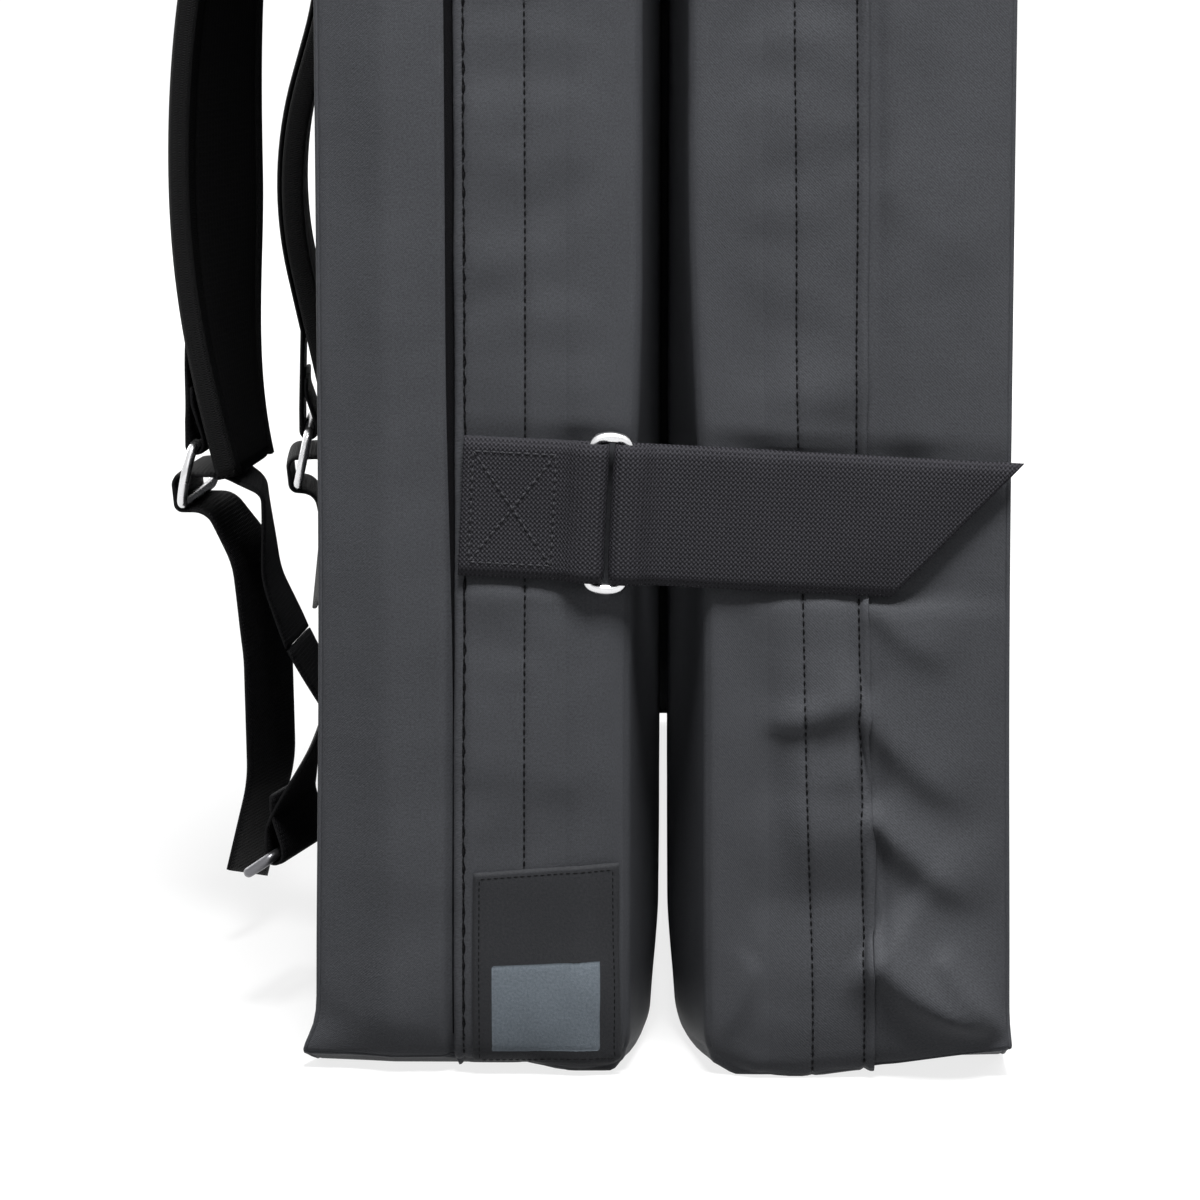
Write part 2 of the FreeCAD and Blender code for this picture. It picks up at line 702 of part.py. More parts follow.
def shoulder_set(side, strap, shape):
    """Pad, web, slider ring, adjuster and both sewn roots of one shoulder strap."""
    width = number("webbing_width")
    thick = number("webbing_thick")
    gap = number("sewn_gap")
    play = number("swing_play")
    flat = thick / 2
    web_shift = number("shoulder_pad_thick") / 2 + flat + gap

    centre = (shape["ring_out"], shape["ring_height"])
    pad_route = route_stations(shape["pad"] + measured_from(centre, [shape["pad_end"]]))
    ribbon(side + "_shoulder_pad", strap, pad_route, number("shoulder_pad_width"),
           number("shoulder_pad_thick"), level_start=True)

    bend = number("ring_wire / 2 + ring_play") + flat
    upper_out, upper_height = ring_bar(centre, shape["ring_lean"], "slider_spread")
    leave = [s for s in pad_route if s[1] > upper_height + shape["leave"]]
    on_pad = [(out + web_shift * abs(head.y), height + web_shift * head.x, head, turn)
              for out, height, head, turn in leave]
    on_pad[0] = (leave[0][0] + web_shift / abs(leave[0][2].y), leave[0][1], leave[0][2], leave[0][3])
    turn = shape["ring_turn"]
    lower = [(on_pad[-1][0], on_pad[-1][1], 0, on_pad[-1][3])]
    lower += loop_round_bar((upper_out, upper_height), turn)
    ribbon(side + "_shoulder_web", strap, on_pad[:-1] + route_stations(lower), width, thick,
           level_start=True)

    ring = wire_ring(side + "_shoulder_ring", "slider_spread", "slider_corner", "slider_crown")
    place_ring(ring, strap, shape["ring_out"], shape["ring_height"], turn, shape["ring_lean"])

    lower_out, lower_height = ring_bar(centre, shape["ring_lean"], "slider_spread", -1)
    pivot_height = shape["low_pivot_height"]
    adjuster = [(strap.pivot_out, pivot_height + play, 0, shape["low_turn"])]
    adjuster += measured_from(centre, shape["run"])
    adjuster += [
        (lower_out + bend + 1.5, lower_height + 3.5 * bend, 1.3 * bend, turn),
        (lower_out + bend, lower_height - bend, bend, turn),
    ]
    adjuster += measured_from(centre, shape["tail"])
    ribbon(side + "_adjuster_web", strap, route_stations(adjuster), width, thick,
           level_start=True, slant=shape["slant"])

    top_out = pad_route[0][0] + web_shift / abs(pad_route[0][2].y)
    top_height = pad_route[0][1] + play
    upper_root = [
        (flat, shape["top_sewn"], 0, 0),
        (flat, shape["top_leave"], number("upper_root_bend"), 0),
        (top_out, top_height, 0, shape["pad"][0][3]),
    ]
    ribbon(side + "_strap_root_upper", strap, route_stations(upper_root), width, thick,
           level_end=True)
    lower_root = [
        (flat, shape["low_sewn"], 0, 0),
        (flat, shape["low_leave"], number("lower_root_bend"), 0),
        (strap.pivot_out, pivot_height, 0, shape["low_turn"]),
    ]
    ribbon(side + "_strap_root_lower", strap, route_stations(lower_root), width, thick,
           level_end=True)


def measured_from(centre, points):
    """Route points whose out and height are given from a centre, as points of the route."""
    return [(centre[0] + out, centre[1] + height, bend, turn) for out, height, bend, turn in points]


def ring_bar(centre, lean, spread, which=1):
    """Centre of a leaning ring's upper bar, or with -1 its lower one, as (out, height)."""
    reach = number(spread) / 2 * which
    lean = math.radians(lean)
    return centre[0] - reach * math.sin(lean), centre[1] + reach * math.cos(lean)


def loop_round_bar(bar, turn):
    """Route down past a bar, under it and back up on the panel's side, where it is sewn."""
    out, height = bar
    bend = number("ring_wire / 2 + ring_play + webbing_thick / 2")
    doubled = out + bend - number("webbing_thick + sewn_gap")
    return [
        (out + bend, height + 3 * bend, 3 * bend, turn),
        (out + bend, height - bend, bend, turn),
        (out - bend, height - bend, bend, turn),
        (out - bend, height + bend, 3 * bend, turn),
        (doubled, height + 5 * bend, 3 * bend, turn),
        (doubled, height + 7 * bend, 0, turn),
    ]


def place_ring(ring, strap, out, height, turn, lean):
    """Lay a ring's long bars across the strap, its plane leaning back from upright."""
    outward, across = strap.directions(turn)
    lean = math.radians(lean)
    upward = UP * math.cos(lean) - outward * math.sin(lean)
    normal = across.cross(upward)
    matrix = FreeCAD.Matrix()
    for column, axis in enumerate((upward, normal * -1, across), start=1):
        for line, share in enumerate(axis, start=1):
            setattr(matrix, "A%d%d" % (line, column), share)
    turned = FreeCAD.Placement(matrix).Rotation
    ring.Placement = FreeCAD.Placement(strap.point(out, height, turn), turned)


def belt_web(side, strap, hang, hang_turn):
    """Sewn root and hanging web of one half of the waist belt."""
    width = number("webbing_width")
    thick = number("webbing_thick")
    flat = thick / 2
    height = number("belt_pivot_height")
    leave = height + number("belt_root_reach")
    root = [
        (flat, leave + number("belt_sewn_length"), 0, 0),
        (flat, leave, number("belt_root_bend"), 0),
        (strap.pivot_out, height, 0, 0),
    ]
    ribbon(side + "_belt_root", strap, route_stations(root), width, thick, level_end=True)
    first = (strap.pivot_out, height - number("swing_play"), 0, 0)
    ribbon(side + "_belt_web", strap, route_stations([first] + hang), width, thick,
           level_start=True, slant=hang_turn)


def haul_handle():
    """Webbing grip across the outer face, sewn flat at both ends."""
    half = number("webbing_thick") / 2
    face = -number(HALF_THICK)
    span = number("handle_span") / 2
    rise = number("handle_rise")
    end = span + number("handle_end")
    points = [
        (face - half, -end, 0),
        (face - half, -span, rise / 2),
        (face - rise, -span + rise, rise),
        (face - rise, span - rise, rise),
        (face - half, span, rise / 2),
        (face - half, end, 0),
    ]
    body = flat_band("haul_handle", points, "webbing_width")
    body.setExpression("Placement.Base.z", bound("panel_height - handle_drop"))


# --- The whole pad ----------------------------------------------------------------------

# A shoulder strap's pad starts at its top; its end, the adjuster's run up to the ring and
# the free tail are given from the ring's centre.
NEAR = {
    "pad": [(22, 534, 0, 8), (70, 308, 520, 24)],
    "pad_end": (-16.5, 5, 0, 9),
    "leave": 40,
    "ring_out": 60.5,
    "ring_height": 194,
    "ring_lean": 12,
    "ring_turn": 8,
    "low_pivot_height": 124,
    "low_turn": 6,
    "run": [(-28, -44, 40, 8), (-25.5, -7, 7, 8), (-12, 0.5, 12, 8)],
    "tail": [
        (-7, -15, 9, 9),
        (-19, -35, 30, 14),
        (-25, -74, 60, 18),
        (-26, -124, 60, 18),
        (-17.5, -166, 0, 18),
    ],
    "slant": 14,
    "top_sewn": 650,
    "top_leave": 606,
    "low_sewn": 46,
    "low_leave": 84,
}
FAR = {
    "pad": [(16, 505, 0, 2), (20, 368, 150, 2), (42.5, 290, 170, 2)],
    "pad_end": (-16, 12, 0, 2),
    "leave": 44,
    "ring_out": 34,
    "ring_height": 166,
    "ring_lean": 12,
    "ring_turn": 2,
    "low_pivot_height": 95,
    "low_turn": 2,
    "run": [(-16, -41, 60, 2), (-19, -13, 8, 2), (-11, 0.5, 10, 2)],
    "tail": [(-5, -16, 7, 3), (-8, -38, 30, 6), (-4, -76, 0, 6)],
    "slant": 14,
    "top_sewn": 620,
    "top_leave": 576,
    "low_sewn": 26,
    "low_leave": 62,
}

# The far belt web's route, from its swing axis.
FAR_HANG = [(5, -20, 20, 0), (7, -52, 40, 0), (11, -78, 0, 0)]


def build():
    panel("carry")
    for piece in panel("outer"):
        turn_to_outer(piece)
    hinge_web()
    label_patch()
    closure_set("lower", "closure_height")
    closure_set("upper", "panel_height - closure_height")
    spacing = number("shoulder_spacing") / 2
    near = Strap(-spacing, number("near_pivot_out"), 1)
    far = Strap(spacing, number("far_pivot_out"), -1)
    shoulder_set("near", near, NEAR)
    shoulder_set("far", far, FAR)
    belt = number("panel_width / 2 - belt_side_inset")
    belt_out = number("belt_pivot_out")
    near_belt = Strap(-belt, belt_out, 1)
    far_belt = Strap(belt, belt_out, -1)
    lean = number("belt_ring_lean")
    turn = number("belt_ring_turn")
    centre = (number("belt_ring_out"), number("belt_ring_height"))
    belt_web("near", near_belt, loop_round_bar(ring_bar(centre, lean, "ring_spread"), turn), 0)
    ring = wire_ring("belt_ring", "ring_spread", "ring_corner", "ring_crown")
    place_ring(ring, near_belt, centre[0], centre[1], turn, lean)
    pivot = (belt_out, number("belt_pivot_height"))
    belt_web("far", far_belt, measured_from(pivot, FAR_HANG), FAR["slant"])
    haul_handle()


def check_and_write():
    doc.recompute()
    for item in doc.Objects:
        if "Invalid" in item.State or "Error" in item.State:
            raise RuntimeError("%s failed: %s" % (item.Label, item.State))
    os.makedirs("parts", exist_ok=True)
    for item in nodes:
        if item.Shape.isNull() or not item.Shape.isValid() or len(item.Shape.Solids) != 1:
            raise RuntimeError(item.Label + " is not one valid solid")
    for item in nodes:
        item.Shape.exportStep("parts/%s.step" % item.Label)
        print("%-24s %10.1f" % (item.Label, item.Shape.Volume))


build()
check_and_write()
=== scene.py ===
"""Looks of the folded bouldering crash pad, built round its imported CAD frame. Metres."""

import math

import bpy
import numpy as np
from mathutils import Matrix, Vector, noise


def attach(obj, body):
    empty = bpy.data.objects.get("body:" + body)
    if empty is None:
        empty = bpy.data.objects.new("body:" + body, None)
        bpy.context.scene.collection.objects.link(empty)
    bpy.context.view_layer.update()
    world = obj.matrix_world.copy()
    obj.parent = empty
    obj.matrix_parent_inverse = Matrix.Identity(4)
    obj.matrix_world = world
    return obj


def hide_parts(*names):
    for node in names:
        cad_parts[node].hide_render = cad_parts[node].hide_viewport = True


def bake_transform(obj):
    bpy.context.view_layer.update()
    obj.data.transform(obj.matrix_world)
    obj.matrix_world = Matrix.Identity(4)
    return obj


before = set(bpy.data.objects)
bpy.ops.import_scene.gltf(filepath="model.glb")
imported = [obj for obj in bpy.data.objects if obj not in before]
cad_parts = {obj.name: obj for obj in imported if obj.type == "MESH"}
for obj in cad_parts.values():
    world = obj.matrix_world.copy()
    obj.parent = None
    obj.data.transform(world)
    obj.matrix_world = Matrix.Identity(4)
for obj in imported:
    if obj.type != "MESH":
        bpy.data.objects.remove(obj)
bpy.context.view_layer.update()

MM = 0.001

# The pad's sizes in millimetres, as in the CAD model.
THICK = 120.0
WIDTH = 650.0
HEIGHT = 1000.0
GAP = 10.0
HALF_WIDTH = WIDTH / 2
STRAP_HEIGHT = 211.0
WEB = 49.4
WEB_THICK = 2.0
WIRE = 4.0


# --- Node materials ---------------------------------------------------------------------


class Nodes:
    """Short ways to add shader nodes to a tree."""

    def __init__(self, tree):
        self.tree = tree

    def feed(self, node, *values, **named):
        """Set or link a node's inputs, in order or by name, with underscores for spaces."""
        pairs = list(zip(node.inputs, values))
        pairs += [(node.inputs[key.replace("_", " ")], value) for key, value in named.items()]
        for socket, value in pairs:
            if isinstance(value, bpy.types.NodeSocket):
                self.tree.links.new(value, socket)
            else:
                socket.default_value = value
        return node

    def node(self, kind, **settings):
        made = self.tree.nodes.new("ShaderNode" + kind)
        for key, value in settings.items():
            setattr(made, key, value)
        return made

    def math(self, operation, *values):
        return self.feed(self.node("Math", operation=operation), *values).outputs[0]

    def add_up(self, *terms):
        """The sum of (value, weight) pairs."""
        total = None
        for value, weight in terms:
            part = self.math("MULTIPLY", value, weight)
            total = part if total is None else self.math("ADD", total, part)
        return total

    def noise(self, vector, scale, detail=3.0, rough=0.55):
        made = self.feed(self.node("TexNoise"), Vector=vector, Scale=scale, Detail=detail, Roughness=rough)
        return made.outputs["Fac"]

    def spread(self, value, low, high, from_low=0.0, from_high=1.0):
        """Value's range from from_low to from_high, mapped to low to high and held there."""
        return self.feed(self.node("MapRange"), value, from_low, from_high, low, high).outputs[0]

    def bump(self, height, strength, distance, under=None):
        made = self.feed(self.node("Bump"), Height=height, Strength=strength, Distance=distance)
        if under is not None:
            self.feed(made, Normal=under)
        return made.outputs["Normal"]

    def seen(self):
        """1 for rays from the camera and for mirrored ones."""
        rays = self.node("LightPath").outputs
        return self.math("MAXIMUM", rays["Is Camera Ray"], rays["Is Glossy Ray"])


class Graph(Nodes):
    """A Principled material."""

    def __init__(self, name):
        self.material = bpy.data.materials.new(name)
        self.material.use_nodes = True
        super().__init__(self.material.node_tree)
        self.shader = self.tree.nodes["Principled BSDF"]
        self.coords = self.node("TexCoord").outputs

    def uv(self):
        """The whole texture coordinate, and its two parts."""
        parts = self.feed(self.node("SeparateXYZ"), self.coords["UV"]).outputs
        return self.coords["UV"], parts[0], parts[1]

    def cells(self, vector, scale, randomness=1.0, feature="F1"):
        made = self.node("TexVoronoi", feature=feature)
        return self.feed(made, Vector=vector, Scale=scale, Randomness=randomness).outputs["Distance"]

    def finish(self, level, colour, dark, light, rough, normal):
        """Colour between two tints by level, with a roughness and a bump."""
        made = self.feed(self.node("Mix", data_type="RGBA"), level)
        made.inputs[6].default_value = (*tint(colour, dark), 1)
        made.inputs[7].default_value = (*tint(colour, light), 1)
        self.feed(self.shader, Base_Color=made.outputs[2], Roughness=rough, Normal=normal)
        return self.material


def tint(colour, factor):
    return tuple(min(1.0, channel * factor) for channel in colour)


def coated_fabric(name, colour, twill=0.0011, sheen=0.0, rough=0.5):
    """Fine coated weave: a twill too small to count, soft clouding and a low sheen."""
    g = Graph(name)
    uv, along, across = g.uv()
    wobble = g.math("MULTIPLY", g.noise(uv, 700, 2), 0.0011)
    diagonal = g.math("ADD", g.math("ADD", along, across), wobble)
    rib = g.math("SINE", g.math("MULTIPLY", diagonal, 2 * math.pi / twill))
    other = g.math("SUBTRACT", along, across)
    cross = g.math("SINE", g.math("MULTIPLY", other, 2 * math.pi / (twill * 0.62)))
    weave = g.add_up((rib, 0.6), (cross, 0.4))
    grain = g.noise(uv, 1100, 2, 0.8)
    cloud = g.noise(uv, 11, 4, 0.6)
    patch = g.noise(uv, 60, 3, 0.6)
    crumple = g.bump(patch, 0.25, 0.0012)
    normal = g.bump(g.add_up((weave, 0.5), (grain, 2.4)), 0.4, 0.00018, crumple)
    shade = g.add_up((cloud, 0.4), (patch, 0.2), (grain, 1.3), (rib, 0.06))
    level = g.spread(shade, 0.0, 1.0, 0.55, 1.35)
    gloss = g.spread(cloud, rough - 0.05, rough + 0.09, 0.3, 0.7)
    g.feed(g.shader, Sheen_Weight=sheen, Sheen_Roughness=0.45, Specular_IOR_Level=0.07)
    return g.finish(level, colour, 0.70, 1.32, gloss, normal)


def webbing(name, colour, period=0.0016, column=0.0017):
    """Herringbone nylon webbing: u runs across the strap and v along it."""
    g = Graph(name)
    uv, across, along = g.uv()
    slip = g.math("MULTIPLY", g.noise(uv, 500, 1), 0.0004)
    ends = g.math("SINE", g.math("MULTIPLY", g.math("ADD", along, slip), 2 * math.pi / period))
    picks = g.math("SINE", g.math("MULTIPLY", across, 2 * math.pi / column))
    rib = g.math("MULTIPLY", ends, picks)
    fuzz = g.noise(uv, 2600, 2, 0.7)
    cloud = g.noise(uv, 45, 3, 0.6)
    normal = g.bump(g.add_up((rib, 0.8), (ends, 0.35), (fuzz, 0.6)), 0.9, 0.0003)
    shade = g.add_up((rib, 0.55), (ends, 0.22), (fuzz, 0.5), (cloud, 0.3))
    level = g.spread(shade, 0.0, 1.0, -0.2, 1.2)
    g.feed(g.shader, Sheen_Weight=0.0, Sheen_Roughness=0.4, Specular_IOR_Level=0.10)
    return g.finish(level, colour, 0.45, 1.55, g.spread(fuzz, 0.5, 0.72), normal)


def air_mesh(name, colour):
    """Open spacer mesh on the body side of a shoulder pad."""
    g = Graph(name)
    uv = g.coords["UV"]
    fuzz = g.noise(uv, 1800, 2)
    holes = g.spread(g.cells(uv, 420, 0.25, "DISTANCE_TO_EDGE"), 0.0, 1.0, 0.0, 0.25)
    g.feed(g.shader, Specular_IOR_Level=0.05)
    level = g.math("MULTIPLY", g.math("SUBTRACT", 1.0, holes), g.spread(fuzz, 0.7, 1.1))
    return g.finish(level, colour, 0.85, 1.2, 0.8, g.bump(holes, 0.25, 0.0003))


def thread(name, colour):
    g = Graph(name)
    twist = g.noise(g.coords["Object"], 3000, 1)
    g.feed(g.shader, Specular_IOR_Level=0.08)
    return g.finish(twist, colour, 0.6, 1.4, 0.5, g.bump(twist, 0.4, 0.0001))


def polished_wire(name, colour, rough):
    """Bright steel wire with the faint drawn lines and smears of handling."""
    g = Graph(name)
    smear = g.noise(g.coords["Object"], 120, 3)
    fine = g.noise(g.coords["Object"], 2200, 2)
    g.feed(g.shader, Metallic=1.0)
    gloss = g.spread(smear, rough * 0.7, rough * 1.5, 0.3, 0.7)
    return g.finish(smear, colour, 0.93, 1.03, gloss, g.bump(fine, 0.08, 0.00008))


def foam(name, colour, cell):
    g = Graph(name)
    pore = g.spread(g.cells(g.coords["Object"], 1 / cell), 0.0, 1.0, 0.1, 0.7)
    return g.finish(pore, colour, 0.7, 1.1, 0.9, g.bump(pore, 0.6, cell / 3))


def hook_tape(name, colour):
    g = Graph(name)
    fuzz = g.noise(g.coords["Object"], 1600, 4, 0.8)
    g.feed(g.shader, Specular_IOR_Level=0.04)
    return g.finish(fuzz, colour, 0.3, 2.0, 0.9, g.bump(fuzz, 1.0, 0.0008))


COVER = (0.058, 0.060, 0.066)
STRAP = (0.027, 0.0265, 0.031)
mat_cover = coated_fabric("cover_fabric", COVER)
mat_flap = coated_fabric("flap_fabric", COVER)
mat_hinge = coated_fabric("hinge_fabric", tint(COVER, 0.62), rough=0.55)
mat_label = coated_fabric("label_fabric", (0.030, 0.031, 0.034), twill=0.0008, sheen=0.05, rough=0.55)
mat_print = coated_fabric("label_print", (0.150, 0.175, 0.200), twill=0.0008, rough=0.6)
mat_web = webbing("webbing", STRAP)
mat_dark_web = webbing("dark_webbing", tint(STRAP, 0.14))
mat_pad = coated_fabric("pad_fabric", (0.0026, 0.0026, 0.0028), twill=0.0009, rough=0.8)
mat_mesh = air_mesh("air_mesh", (0.005, 0.005, 0.0053))
mat_bind = webbing("binding", (0.0036, 0.0036, 0.0039), period=0.0010, column=0.0012)
mat_thread = thread("thread", (0.003, 0.003, 0.0035))
mat_strap_thread = thread("strap_thread", (0.037, 0.037, 0.041))
mat_wire = polished_wire("steel_wire", (0.72, 0.72, 0.73), 0.24)
mat_dull = polished_wire("belt_wire", (0.16, 0.16, 0.17), 0.34)
mat_closed = foam("closed_foam", (0.035, 0.035, 0.04), 0.0012)
mat_open = foam("open_foam", (0.62, 0.58, 0.46), 0.002)
mat_tape = hook_tape("hook_and_loop", (0.007, 0.007, 0.008))


# --- Mesh helpers -----------------------------------------------------------------------


def piece(name, points, faces, material, body=None, uvs=None, loop_uvs=None):
    """A smooth mesh, points in millimetres, that rides on a body where one is given."""
    mesh = bpy.data.meshes.new(name)
    mesh.from_pydata([tuple(float(c) * MM for c in point) for point in points], [], faces)
    mesh.update()
    if uvs is not None or loop_uvs is not None:
        layer = mesh.uv_layers.new(name="UVMap")
        if loop_uvs is None:
            index = np.empty(len(mesh.loops), dtype=np.int32)
            mesh.loops.foreach_get("vertex_index", index)
            loop_uvs = np.asarray(uvs, dtype=float)[index]
        layer.data.foreach_set("uv", (np.asarray(loop_uvs) * MM).ravel())
    mesh.polygons.foreach_set("use_smooth", [True] * len(mesh.polygons))
    mesh.materials.append(material)
    made = bpy.data.objects.new(name, mesh)
    bpy.context.collection.objects.link(made)
    if body:
        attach(made, body)
    return made


def grid_faces(rows, columns, flip=False, base=0):
    faces = []
    for r in range(rows - 1):
        for c in range(columns - 1):
            a = base + r * columns + c
            face = [a, a + 1, a + columns + 1, a + columns]
            faces.append(face[::-1] if flip else face)
    return faces


def rim_pairs(rows, columns):
    """Neighbours round the edge of a grid of points."""
    rim = list(range(columns)) + [r * columns + columns - 1 for r in range(1, rows)]
    rim += [(rows - 1) * columns + c for c in range(columns - 2, -1, -1)]
    rim += [r * columns for r in range(rows - 2, 0, -1)]
    return zip(rim, rim[1:] + rim[:1])


def tube_faces(rings, sides, base=0, closed=False):
    """Quads round a tube, whose rings of points follow one another."""
    faces = []
    for r in range(rings if closed else rings - 1):
        a, b = base + r * sides, base + (r + 1) % rings * sides
        for n in range(sides):
            m = (n + 1) % sides
            faces.append([a + n, a + m, b + m, b + n])
    return faces


def tube_caps(rings, sides, base=0):
    last = base + (rings - 1) * sides
    return [[base + n for n in reversed(range(sides))], [last + n for n in range(sides)]]


def run_lengths(points):
    """The distance along a line of points, at each of them."""
    steps = np.linalg.norm(np.diff(np.asarray(points, dtype=float), axis=0), axis=1)
    return np.concatenate([[0.0], np.cumsum(steps)])


def smooth_step(value):
    value = np.clip(value, 0.0, 1.0)
    return value * value * (3 - 2 * value)


def bell(value, width):
    return np.exp(-((value / width) ** 2))


def ripple(a, b, scale, seed):
    """Smooth noise about zero over two coordinates in millimetres."""
    a, b, seed = np.broadcast_arrays(a, b, seed)
    rows = zip(a.ravel(), b.ravel(), seed.ravel())
    return np.array([noise.noise((p / scale, q / scale, s)) for p, q, s in rows]).reshape(a.shape)


# --- The two soft panels ----------------------------------------------------------------
# A panel's surface is read from box coordinates in millimetres: o is the distance from its
# landing face towards its outer face, y runs from the closing side to the hinge side, and
# z up. place() rounds the box into a sewn cover and lays in its crown, sag and folds.

# Folds of the cover on the closing side: from (o, z) to (o, z), width at each end, depth.
# Each has a crest, a slow slope above it and a steep one that faces the ground below it.
FOLDS = {
    "carry": [
        ((20, 163), (66, 150), 7, 5, 0.5),
        ((28, 112), (66, 101), 8, 5, 0.6),
        ((66, 70), (110, 84), 9, 9, 0.6),
        ((120, 30), (84, 9), 5, 7, 0.9),
        ((100, 22), (74, 14), 3, 4, 0.5),
        ((26, 40), (6, 12), 5, 4, 0.3),
        ((60, 300), (24, 290), 9, 12, 0.5),
        ((118, 250), (76, 268), 10, 12, 0.5),
    ],
    "outer": [
        ((69, 177), (100, 154), 4.0, 6.0, 2.0),
        ((66, 138), (108, 100), 4.0, 7.5, 3.4),
        ((69, 99), (111, 65), 3.2, 8.5, 5.2),
        ((95, 46), (119, 12), 2.2, 2.6, 3.0),
        ((70, 47), (121, 9), 10.0, 4.5, 9.6),
        ((67, 143), (30, 132), 5.0, 1.6, 3.6),
        ((64, 113), (44, 111), 4.0, 3.0, 0.8),
        ((69, 96), (38, 92), 24.0, 20.0, 5.0),
        ((24, 44), (4, 12), 4.0, 4.0, 1.6),
        ((72, 330), (118, 300), 8.0, 10.0, 0.8),
        ((66, 250), (24, 262), 8.0, 10.0, 0.7),
        ((74, 212), (112, 186), 5.0, 8.0, 0.9),
    ],
}
SEED = {"carry": 3.7, "outer": 9.2}


def line_at(side, z):
    """Where the flap's stitch lines and its free edge lie across the side, at a height."""
    z = np.asarray(z, dtype=float)
    if side == "carry":
        wander = 0.35 * np.sin(z / 83.0 + 1.0)
        return 45.2 + wander, 66.9 + wander, 69.2 + wander
    low = smooth_step((400 - z) / 400)
    wander = 0.5 * np.sin(z / 71.0 + 2.2) + 0.25 * np.sin(z / 23.0)
    return 40.9 + 8.4 * low + wander, 63.2 + 4.8 * low + wander, 66.9 + 4.7 * low + wander


def fold_depth(side, o, z):
    """How far the folds push the closing side in or out."""
    total = np.zeros_like(o)
    for (o1, z1), (o2, z2), start_width, end_width, depth in FOLDS[side]:
        run_o, run_z = o2 - o1, z2 - z1
        length = math.hypot(run_o, run_z)
        upright = 1 if run_o > 0 else -1
        share = ((o - o1) * run_o + (z - z1) * run_z) / length ** 2
        above = ((z - z1) * run_o - (o - o1) * run_z) / length * upright
        above = above + 0.05 * length * np.sin(np.clip(share, 0, 1) * math.pi)
        width = start_width + (end_width - start_width) * np.clip(share, 0, 1)
        ends = smooth_step((share + 0.08) / 0.16) * smooth_step((1.12 - share) / 0.5)
        rise = np.where(above > 0, 2.4, 1.0) * width
        total += ends * depth * np.exp(-np.abs(above / rise) ** 1.5)
    return total


def tuck(side, o, z):
    """The leaf's dip beside the flap's hem, its soft crease, and puckers along the stitches."""
    hem = line_at(side, z)[2]
    if side == "carry":
        dip = -3.6 * bell(o - hem - 1.6, 2.4)
        crease = 1.0 * bell(o - 93 - 3 * np.sin(z / 170.0), 9)
    else:
        dip = -1.3 * bell(o - hem - 3.2, 3.0) * (0.6 + 0.4 * np.sin(z / 47.0))
        crease = 1.3 * bell(o - 82 - 5 * np.sin(z / 90.0), 7) * smooth_step((z - 180) / 80)
    round_edge = (0.9 if side == "carry" else 0.3) * bell(o - 25 - 2 * np.sin(z / 120.0), 5)
    band = smooth_step((o - 14) / 16) * smooth_step((hem + 2 - o) / 8)
    if side == "carry":
        band = band * (1 - smooth_step((94 - z) / 10))
    pucker = ripple(o / 2.6, z, 15, 41.0 + SEED[side]) * 0.9 + ripple(o / 1.6, z, 34, 51.0 + SEED[side]) * 1.3
    return dip + crease + round_edge + pucker * band


# Where straps are sewn to the carry panel's outer face: middle y, middle z, half width, half height.
SEWN = [
    (-115, 628, 27, 26), (115, 598, 27, 26), (-115, 65, 27, 24), (115, 44, 27, 22),
    (-220, 141, 27, 24), (220, 141, 27, 24), (-97, 900, 27, 27), (97, 900, 27, 27),
]


def sewn_down(y, z):
    """1 where a sewn strap holds the outer face flat, fading out round it."""
    total = np.zeros_like(z)
    for middle_y, middle_z, half_y, half_z in SEWN:
        clear = np.maximum(np.abs(y - middle_y) - half_y, np.abs(z - middle_z) - half_z)
        total = np.maximum(total, smooth_step(1 - clear / 26))
    return total


def drawn_back(side, o, mirror_z):
    """How far the landing edge is drawn back from the gap on the closing side."""
    if side == "carry":
        amount = 3 + 4.4 * smooth_step((300 - mirror_z) / 160)
        return amount * smooth_step((16 - o) / 16)
    amount = 3.6 + 6.6 * smooth_step((345 - mirror_z) / 200) + 1.0 * np.exp(-mirror_z / 50)
    return amount * smooth_step((44 - o) / 44)


def end_lift(side, o, edge_y, mirror_z):
    """How far the sewn end stands off the ground, dying out up the panel and away from the edge."""
    if side == "carry":
        lift = 5.6 * smooth_step((o - 28) / 18) * bell(edge_y, 10)
    else:
        lift = 11.0 * np.clip((o - 46) / 74, 0, 1) * bell(edge_y, 20)
    lift = lift + 5.0 * smooth_step((15 - o) / 15) * bell(edge_y, 30)
    return lift * np.exp(-mirror_z / 24)


def rounded_box(side, o, y, z, inset):
    """Places on a box with soft edges, or inside it, and how far each leans to the faces."""
    sewn, tight, power = 1.6, 2.4, 1.8
    soft = smooth_step((84 - o) / 34)
    round_in = 4.0 + 12.0 * smooth_step((y + 300) / 200)
    round_o = np.where(o < THICK / 2, round_in, sewn)
    round_y = tight + (round_in - tight) * soft
    round_z = tight + 2.6 * soft + (7.0 if side == "carry" else 10.0) * smooth_step((26 - o) / 22)
    co = np.clip(o, round_in, THICK - sewn)
    cy = np.clip(y, round_y - HALF_WIDTH, HALF_WIDTH - round_y)
    cz = np.clip(z, round_z, HEIGHT - round_z)
    no, ny, nz = (o - co) / round_o, (y - cy) / round_y, (z - cz) / round_z
    size = (np.abs(no) ** power + np.abs(ny) ** power + np.abs(nz) ** power) ** (1 / power)
    reach = np.maximum(1 - inset / np.minimum(round_o, round_y), 0.0)
    shrink = np.where(size > reach, reach / np.maximum(size, 1e-9), 1.0)
    no, ny, nz = no * shrink, ny * shrink, nz * shrink
    return (co + no * round_o, cy + ny * round_y, cz + nz * round_z), (no, ny, nz)


